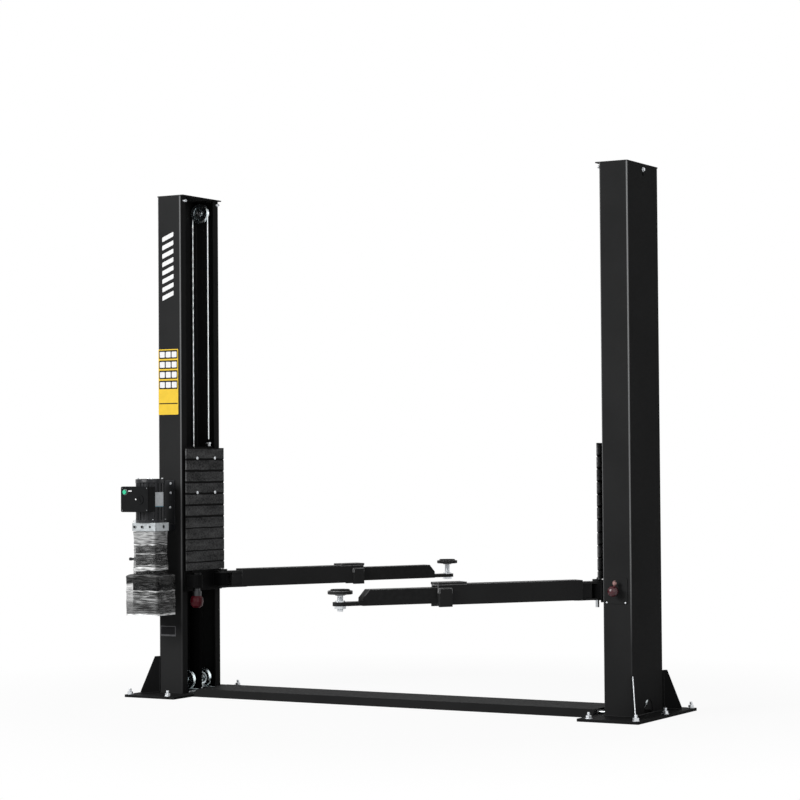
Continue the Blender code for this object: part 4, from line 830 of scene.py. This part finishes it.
def add_carriage_fittings(side):
    """Guard panel bolts, cable stud nuts and the welds of the pivots' blocks."""
    body = f"{side}_carriage"
    bm = bmesh.new()
    for y in (-0.094, 0.08):
        for z in (1.334, 1.139):
            add_dome(bm, facing((PANEL_LOW.x, y, z), (-1, 0, 0)), 0.0095, 0.0045)
    stud = at(1.328, NEAR_CABLE, 1.4032)
    for low, high, spin in ((0.0, 0.011, 0.0), (0.012, 0.022, 0.3)):
        add_prism(bm, polygon(6, 0.014), low, high, stud @ Matrix.Rotation(spin, 4, "Z"), 0.0012)
    add_sided(side, "carriage_bolts", bm, ZINC, body=body)
    welds = bmesh.new()
    x, half = 1.283, 0.034
    for y in (PIVOT.y, -PIVOT.y):
        for z in (0.6065, 0.6775):
            add_weld(welds, [(x, y - half, z), (x, y + half, z)], 0.003)
        for flank in (y - half, y + half):
            add_weld(welds, [(x, flank, 0.608), (x, flank, 0.676)], 0.003)
    add_sided(side, "carriage_welds", welds, CARRIAGE_PAINT, 60, body)


def add_pin_details(side):
    """A grease nipple on each arm pin's head."""
    bm = bmesh.new()
    place = at(PIVOT.x, PIVOT.y, 0.6994)
    add_prism(bm, polygon(6, 0.0052), 0.0, 0.0035, place, 0.0006)
    add_turned(bm, [(0, 0.0034), (0.0028, 0.0034), (0.002, 0.0062), (0.0028, 0.0078), (0.0016, 0.0095),
                    (0, 0.0098)], place, 14)
    add_sided(side, "grease_nipple", bm, BLACK_OXIDE, body=f"{side}_carriage")


# Arms

def arm_place(side):
    """The arm's own frame: +X along the arm from its pin."""
    return SIDES[side] @ Matrix.Translation(PIVOT) @ Matrix.Rotation(ARM_HEADINGS[side], 4, "Z")


def add_arm_welds(side):
    """Beads where the fork, sleeve plate, lugs and tab meet the tubes."""
    place = arm_place(side)
    tube_top, sleeve_top = 0.6895, 0.6995
    fork, lug, sleeve_end = 0.104, 0.8375, 0.905
    half, sleeve_half = 0.036, 0.041
    bm = bmesh.new()
    for y in (-half, half):
        add_weld(bm, [(fork, y * 0.9, tube_top), (fork, y, tube_top), (fork, y, 0.6775)])
    add_weld(bm, [(fork + 0.0005, -half, tube_top), (fork + 0.0005, half, tube_top)])
    for y in (-sleeve_half, sleeve_half):
        add_weld(bm, [(0.757, y, sleeve_top), (sleeve_end, y, sleeve_top)], 0.0024)
        add_weld(bm, [(lug, y, 0.592), (lug, y, 0.676)])
        add_weld(bm, [(lug, y, 0.6795), (sleeve_end, y, 0.6795)])
    add_weld(bm, [(0.7545, -0.04, sleeve_top), (0.7545, 0.04, sleeve_top)])
    add_piece(f"{side}_arm_welds", bm, ARM_PAINT, 60, f"{side}_arm", place)
    bm = bmesh.new()
    tab = PAD_REACHES[side] - 0.1075
    add_weld(bm, [(tab, -0.027, 0.627), (tab, 0.027, 0.627)], 0.0024)
    add_piece(f"{side}_tab_weld", bm, ARM_PAINT, 60, f"{side}_arm_extension", place)


def add_pad_screw(side):
    """The pad's threaded screw, its black saucer, and the ribbed rubber pad."""
    place = arm_place(side) @ at(PAD_REACHES[side], 0, 0)
    here = Matrix.Identity(4)
    top = PAD_TOPS[side]
    rim = top - PAD_RISE
    bottom = rim - SAUCER_HEIGHT
    hub = bottom - HUB_DROP

    def add_pad_piece(name, bm, skin, node):
        piece = add_piece(f"{side}_{name}", bm, skin, 40, f"{side}_pad", place)
        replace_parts(piece, f"{side}_{node}")

    bm = bmesh.new()
    add_thread(bm, here, SCREW_RADIUS, THREAD_DEPTH, THREAD_PITCH, bottom - SCREW_LENGTH, hub + 0.002, 28)
    add_pad_piece("threaded_screw", bm, ZINC, "pad_screw")
    bm = bmesh.new()
    socket, outer, seat = PAD_RADIUS + 0.0003, SAUCER_RADIUS, bottom + SAUCER_FLOOR
    add_turned(bm, [(0, seat), (socket, seat), (socket, rim - 0.0008), (socket + 0.0008, rim),
                    (outer - 0.003, rim), (outer - 0.0009, rim - 0.0009), (outer, rim - 0.003),
                    (outer, bottom + 0.003), (outer - 0.0009, bottom + 0.0009), (outer - 0.003, bottom),
                    (HUB_RADIUS + 0.004, bottom - 0.0025), (HUB_RADIUS, bottom - 0.0045),
                    (HUB_RADIUS, hub + 0.001), (HUB_RADIUS - 0.001, hub), (0, hub)], here, 48)
    add_pad_piece("saucer", bm, ARM_PAINT, "pad_screw")

    def ribs(radius, height, angle):
        on_ribs = radius > 0.0385 and height > top - 0.0005
        return 0.0022 if on_ribs and angle * PAD_RIBS / (2 * pi) % 1.0 < 0.3 else 0.0

    profile = [(0, top - 0.001), (0.005, top - 0.001), (0.006, top)]
    for start in (0.015, 0.031):
        profile += [(start + out, top - drop) for out, drop in (
            (0, 0), (0.001, 0.0008), (0.0014, 0.004), (0.0066, 0.004), (0.007, 0.0008), (0.008, 0))]
    profile += [(PAD_RADIUS - 0.0035, top), (PAD_RADIUS - 0.0012, top - 0.001), (PAD_RADIUS, top - 0.0035),
                (PAD_RADIUS, seat + 0.0003), (0, seat + 0.0003)]
    bm = bmesh.new()
    add_turned(bm, profile, here, PAD_RIBS * 4, ribs)
    add_pad_piece("rubber_pad", bm, RUBBER, "pad")


# Power unit

def add_motor_fittings():
    """The motor's lid with its ribs, its tie bolts and its base bolts."""
    top = at(UNIT.x, UNIT.y, MOTOR_HIGH.z)
    foot = at(UNIT.x, UNIT.y, MOTOR_LOW.z + 0.0162)
    bm = bmesh.new()
    add_turned(bm, [(0.06, -0.0006), (0.0815, -0.0006), (0.083, -0.003), (0.083, -0.02), (0.0815, -0.022),
                    (0.079, -0.022), (0.079, -0.003), (0.06, -0.0006)], top, 48)
    for number in range(10):
        rib = top @ Matrix.Rotation(2 * pi * number / 10, 4, "Z") @ at(0.04, 0, 0)
        add_prism(bm, rectangle(0.028, 0.005, 0.002), -0.0004, 0.0012, rib, 0.0004)
    add_piece("motor_lid", bm, UNIT_PAINT)
    bolts = bmesh.new()
    for number in range(4):
        turn = Matrix.Rotation(pi / 4 + number * pi / 2, 4, "Z")
        add_bolt(bolts, top @ turn @ at(0.068, 0, 0), 0.009, 0.0045, 0.0068)
        add_dome(bolts, foot @ turn @ at(0.0835, 0, 0), 0.004, 0.0032)
    add_piece("motor_bolts", bolts, ZINC)


def around_motor(radius, start, end, low, high):
    """A thin curved sheet on the motor, between two angles."""
    bm = bmesh.new()
    outer = radius + 0.0006
    rings = []
    for step in range(15):
        angle = start + (end - start) * step / 14
        rings.append([bm.verts.new((UNIT.x + r * cos(angle), UNIT.y + r * sin(angle), z))
                      for r, z in ((radius, low), (outer, low), (outer, high), (radius, high))])
    join_rings(bm, rings, True)
    return bm


def add_unit_labels():
    """A blank silver label with blue edges on the motor's flank."""
    start, end, top = radians(-17.6) - 0.43, radians(-17.6) + 0.43, 1.146
    add_piece("motor_label_edge", around_motor(MOTOR_RADIUS, start, end, 1.065, top), BLUE_PRINT)
    add_piece("motor_label", around_motor(MOTOR_RADIUS + 0.0008, start + 0.09, end, 1.069, top),
              SILVER_LABEL)


def add_control_details():
    """The control box's lid line, screws, button ring, lamp and switch disc."""
    face, left, right, low, top = BOX_LOW.y, BOX_LOW.x, BOX_HIGH.x, BOX_LOW.z, BOX_HIGH.z
    place = front_place((left + right) / 2, (low + top) / 2, face + 0.012)
    outer = rectangle(right - left + 0.0024, top - low + 0.0024, 0.007)
    inner = rectangle(right - left, top - low, 0.006)
    bm = bmesh.new()
    levels = ((outer, 0.0), (outer, 0.003), (inner, 0.0042), (inner, -0.0012), (outer, 0.0))
    join_rings(bm, [[bm.verts.new(place @ Vector((x, y, z))) for x, y in edge] for edge, z in levels])
    disc = front_place(right - 0.055, low + 0.068, face)
    add_turned(bm, [(0, 0), (0.026, 0), (0.026, 0.003), (0.0245, 0.0042), (0.018, 0.0042), (0.017, 0.003),
                    (0, 0.003)], disc, 40)
    add_prism(bm, rectangle(0.006, 0.03, 0.002), 0.0028, 0.007, disc @ Matrix.Rotation(0.5, 4, "Z"), 0.001)
    add_piece("control_box_trim", bm, BLACK_PLASTIC)
    ring = bmesh.new()
    add_turned(ring, [(0.0128, 0), (0.0165, 0), (0.0165, 0.0018), (0.0155, 0.0028), (0.0134, 0.0028),
                      (0.0128, 0.0018), (0.0128, 0)], front_place(left + 0.03, top - 0.03, face), 32)
    for x in (left + 0.009, right - 0.009):
        for z in (low + 0.009, top - 0.009):
            add_dome(ring, front_place(x, z, face), 0.0034, 0.0018)
    add_piece("control_box_screws", ring, DULL_ZINC)
    mark = bmesh.new()
    place = front_place(left + 0.063, top - 0.024, face)
    add_prism(mark, rectangle(0.024, 0.007, 0.003), 0.0, 0.0006, place, 0.0002)
    add_turned(mark, [(0, 0), (0.006, 0), (0.006, 0.0022), (0.004, 0.0044), (0, 0.005)],
               front_place(left + 0.105, top - 0.07, face))
    add_piece("control_box_lamp", mark, WHITE_PRINT)


def add_valve_fittings():
    """The hydraulic block's plug sockets, a dark mark on its side, and its lowering pin with a ring."""
    face = BLOCK_LOW.y
    middle = (BLOCK_LOW.z + BLOCK_HIGH.z) / 2
    bm = bmesh.new()
    for x, y in ((-0.061, face), (-0.009, face), (0.043, face + 0.014)):
        place = front_place(UNIT.x + x, middle, y)
        add_prism(bm, polygon(6, 0.0084 if y == face else 0.0064), 0.0, 0.0008, place)
    add_prism(bm, polygon(7, 0.0105), 0.0, 0.0004, facing((BLOCK_HIGH.x, UNIT.y + 0.014, middle), (1, 0, 0)))
    add_piece("valve_sockets", bm, BLACK_OXIDE)
    pin = bmesh.new()
    base = Vector((BLOCK_LOW.x + 0.012, face + 0.022, BLOCK_HIGH.z))
    add_turned(pin, [(0, 0), (0.0065, 0), (0.0065, 0.005), (0.0035, 0.006), (0.0035, 0.012), (0, 0.012)],
               Matrix.Translation(base), 18)
    ring = [(-0.004 - 0.011 * y, 0.004 * x, 0.008 + 0.0055 * x) for x, y in polygon(24, 1, 1)]
    add_tube(pin, [base + Vector(point) for point in ring], 0.0014)
    add_piece("lowering_pin", pin, ZINC)


def add_bracket_bolts():
    """Bolts of the unit's bracket on the post."""
    bm = bmesh.new()
    face = BRACKET_HIGH.y - 0.006
    left, right = -0.044, 0.03
    for x, z in ((left, 1.192), (right, 1.192), (left, 1.128), (right, 1.14), (left, 1.05), (0.026, 1.058)):
        place = facing((UNIT.x + x, face, z), (0, -1, 0), 0.3 + x * 20)
        add_bolt(bm, place, 0.0095, 0.005, 0.0068)
    add_piece("bracket_bolts", bm, ZINC)


def add_tank():
    """The steel oil tank inside its film."""
    bm = bmesh.new()
    middle = at(UNIT.x, UNIT.y, 0)
    add_prism(bm, rectangle(0.136, 0.116, 0.018, 6), TANK_STEP - 0.002, TANK_HIGH.z, middle, 0.003)
    foot = middle @ at(0.014, 0, 0)
    add_prism(bm, rectangle(0.182, 0.15, 0.02, 6), TANK_LOW.z + 0.012, TANK_STEP - 0.004, foot, 0.004)
    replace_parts(add_piece("tank_body", bm, TANK_PAINT), "oil_tank")
    stub = bmesh.new()
    place = facing((UNIT.x - 0.076, UNIT.y - 0.034, 0.773), (-1, 0, 0))
    add_turned(stub, [(0, 0), (0.0105, 0), (0.0105, 0.01), (0.0072, 0.011), (0.0072, 0.03), (0.0088, 0.031),
                      (0.0088, 0.042), (0.007, 0.0437), (0, 0.0437)], place)
    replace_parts(add_piece("tank_stub", stub, UNIT_PAINT), "oil_tank")


def crinkle(point, amount):
    """How far a film stands out at a point: long folds across, fine creases over them."""
    folds = noise.noise(Vector((point.x * 9, point.y * 9, point.z * 42)))
    creases = 1 - abs(noise.noise(Vector((point.x * 22, point.y * 22 + 7.3, point.z * 95))))
    fine = noise.noise(Vector((point.x * 60 + 3.1, point.y * 60, point.z * 160)))
    return amount * (0.55 * folds + 0.45 * (creases - 0.6) + 0.16 * fine)


def add_film_shell(name, rows, around, amount, skin):
    """A loose film sleeve. Each row is (height, width, depth, corner, looseness)."""
    bm = bmesh.new()
    rings = []
    for height, width, depth, corner, loose in rows:
        outline = [Vector(point) for point in rectangle(width, depth, corner, 6)]
        outline.append(outline[0])
        lengths = [0.0]
        for first, second in zip(outline, outline[1:]):
            lengths.append(lengths[-1] + (second - first).length)
        ring = []
        for step in range(around):
            target = lengths[-1] * step / around
            number = next(n for n in range(len(outline) - 1) if lengths[n + 1] >= target)
            share = (target - lengths[number]) / (lengths[number + 1] - lengths[number])
            flat = outline[number].lerp(outline[number + 1], share)
            out = Vector((flat.x, flat.y, 0)).normalized()
            point = Vector((UNIT.x + flat.x, UNIT.y + flat.y, height))
            point += out * crinkle(point, amount * loose)
            point.z += 0.5 * crinkle(point + Vector((0.31, 0.17, 0.05)), amount * loose)
            ring.append(bm.verts.new(point))
        rings.append(ring)
    join_rings(bm, rings)
    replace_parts(add_piece(name, bm, skin, 60), "oil_tank")


def add_tank_film():
    """Two loose sleeves of film: a close one on the upper tank, a wide one round its foot."""
    shares = [number / 78 for number in range(79)]
    top, bottom = TANK_HIGH.z - 0.002, TANK_STEP - 0.004
    rows = []
    for share in shares:
        width = 0.156 - 0.006 * sin(pi * min(1.0, share * 1.2))
        rows.append((top + (bottom - top) * share, width, width - 0.02, 0.018, min(1.0, 0.3 + share * 3)))
    add_film_shell("upper_film_sleeve", rows, 120, 0.005, UPPER_FILM)
    top, bottom = TANK_STEP, TANK_LOW.z + 0.001
    rows = []
    for share in shares:
        width = 0.16 + 0.06 * min(1.0, share / 0.05) ** 0.5
        loose = 0.4 + 0.6 * sin(pi * min(1.0, share + 0.1))
        rows.append((top + (bottom - top) * share, width, width - 0.04, 0.016, loose))
    add_film_shell("lower_film_sleeve", rows, 140, 0.0055, LOWER_FILM)


def add_knob_wraps():
    """The twisted end of the wrapping on each release knob."""
    for number, side in enumerate(SIDES):
        bm = bmesh.new()
        bmesh.ops.create_icosphere(bm, subdivisions=3, radius=1.0)
        for vert in bm.verts:
            out = vert.co.normalized()
            scale = 0.85 + 0.35 * noise.noise(out * 2.1 + Vector((number + 8.0, 0, 0)))
            vert.co = KNOB_PLACE + Vector((out.x * 0.012, out.y * 0.01, out.z * 0.017)) * scale
        add_sided(side, "knob_wrap", bm, PINK_WRAP, sharp=50)


# Stage, light and camera

WHITE = (1.0, 1.0, 1.0, 1.0)
FLOOR_TONE = (0.8, 0.8, 0.8)


def mix_for_view(tree, plain, bright, share):
    """Shows the bright shader to the camera and in reflections, by a share, and the plain one to light."""
    path = add_node(tree, "ShaderNodeLightPath", {}).outputs
    amount = path["Is Camera Ray"]
    for operation, value in (("MAXIMUM", path["Is Glossy Ray"]), ("MAXIMUM", path["Is Transmission Ray"]),
                             ("MULTIPLY", share)):
        amount = add_node(tree, "ShaderNodeMath", {0: amount, 1: value}, operation=operation).outputs[0]
    return add_node(tree, "ShaderNodeMixShader", {0: amount, 1: plain, 2: bright}).outputs[0]


def add_floor():
    """A pale floor that fades into a white backdrop, with plain floor under the lift's cover."""
    bm = bmesh.new()
    add_turned(bm, [(0, 0), (4, 0), (40, 0)], at(0, 0, -0.0006), 64)
    half, end = COVER_HALF_WIDTH, BASE_LOW.x
    corners = ((-end, -half), (end, -half), (end, half), (-end, half))
    under = [bm.verts.new((x, y, -0.0003)) for x, y in corners]
    bm.faces.new(under).material_index = 1
    material = bpy.data.materials.new("studio_floor")
    material.use_nodes = True
    tree = material.node_tree
    tree.nodes.remove(tree.nodes["Principled BSDF"])
    diffuse = add_node(tree, "ShaderNodeBsdfDiffuse", {"Color": (*FLOOR_TONE, 1.0)}).outputs[0]
    emission = add_node(tree, "ShaderNodeEmission", {"Color": WHITE, "Strength": 1.0}).outputs[0]
    place = add_node(tree, "ShaderNodeTexCoord", {}).outputs["Object"]
    away = add_node(tree, "ShaderNodeVectorMath", {0: place}, operation="LENGTH").outputs["Value"]
    fade = add_node(tree, "ShaderNodeMapRange", {"Value": away, "From Min": 1.8, "From Max": 3.4,
                                                 "To Min": 0.94, "To Max": 1.0}).outputs[0]
    feed(tree, tree.nodes["Material Output"].inputs["Surface"], mix_for_view(tree, diffuse, emission, fade))
    under_cover = Skin("floor_under_cover", FLOOR_TONE, 1.0, specular=0.0).material
    add_mesh("studio_floor", bm, material, under_cover)


def add_world():
    """A low even light, seen as white."""
    world = bpy.data.worlds.new("studio")
    bpy.context.scene.world = world
    world.use_nodes = True
    tree = world.node_tree
    plain = tree.nodes["Background"]
    feed(tree, plain.inputs["Color"], WHITE)
    feed(tree, plain.inputs["Strength"], 0.14)
    bright = add_node(tree, "ShaderNodeBackground", {"Color": WHITE, "Strength": 1.0})
    shown = mix_for_view(tree, plain.outputs[0], bright.outputs[0], 1.0)
    feed(tree, tree.nodes["World Output"].inputs["Surface"], shown)


def add_lamp(name, place, target, size, power):
    lamp = bpy.data.lights.new(name, "AREA")
    lamp.shape = "RECTANGLE"
    lamp.size, lamp.size_y = size
    lamp.energy = power
    holder = put(name, lamp)
    holder.location = place
    holder.rotation_mode = "QUATERNION"
    holder.rotation_quaternion = (Vector(target) - Vector(place)).to_track_quat("-Z", "Y")


def add_camera():
    camera = bpy.data.cameras.new("camera")
    camera.sensor_width = SENSOR_WIDTH
    camera.lens = CAMERA_LENS
    camera.clip_end = 200
    holder = put("camera", camera)
    heading = Matrix.Rotation(CAMERA_YAW, 4, "Z") @ Matrix.Rotation(pi / 2 + CAMERA_PITCH, 4, "X")
    holder.matrix_world = at(*CAMERA_PLACE) @ heading @ Matrix.Rotation(CAMERA_ROLL, 4, "Z")
    bpy.context.scene.camera = holder


finish_nodes()
for side in SIDES:
    add_anchors(side)
    add_structure_welds(side)
    add_post_fittings(side)
    add_cover_bolts(side)
    add_sheaves(side)
    add_axle_ends(side)
    add_cables(side)
    add_carriage_fittings(side)
    add_pin_details(side)
    add_arm_welds(side)
    add_pad_screw(side)
add_post_labels()
add_motor_fittings()
add_unit_labels()
add_control_details()
add_valve_fittings()
add_bracket_bolts()
add_tank()
add_tank_film()
add_knob_wraps()

add_floor()
add_world()
add_lamp("key", (-3.2, -7.5, 4.2), (0, 0, 1.2), (4.5, 3.5), 600)
add_lamp("fill", (6.5, -4.5, 3.6), (0, 0, 1.2), (3.0, 3.0), 70)
add_camera()
bpy.context.scene.view_settings.view_transform = "Standard"
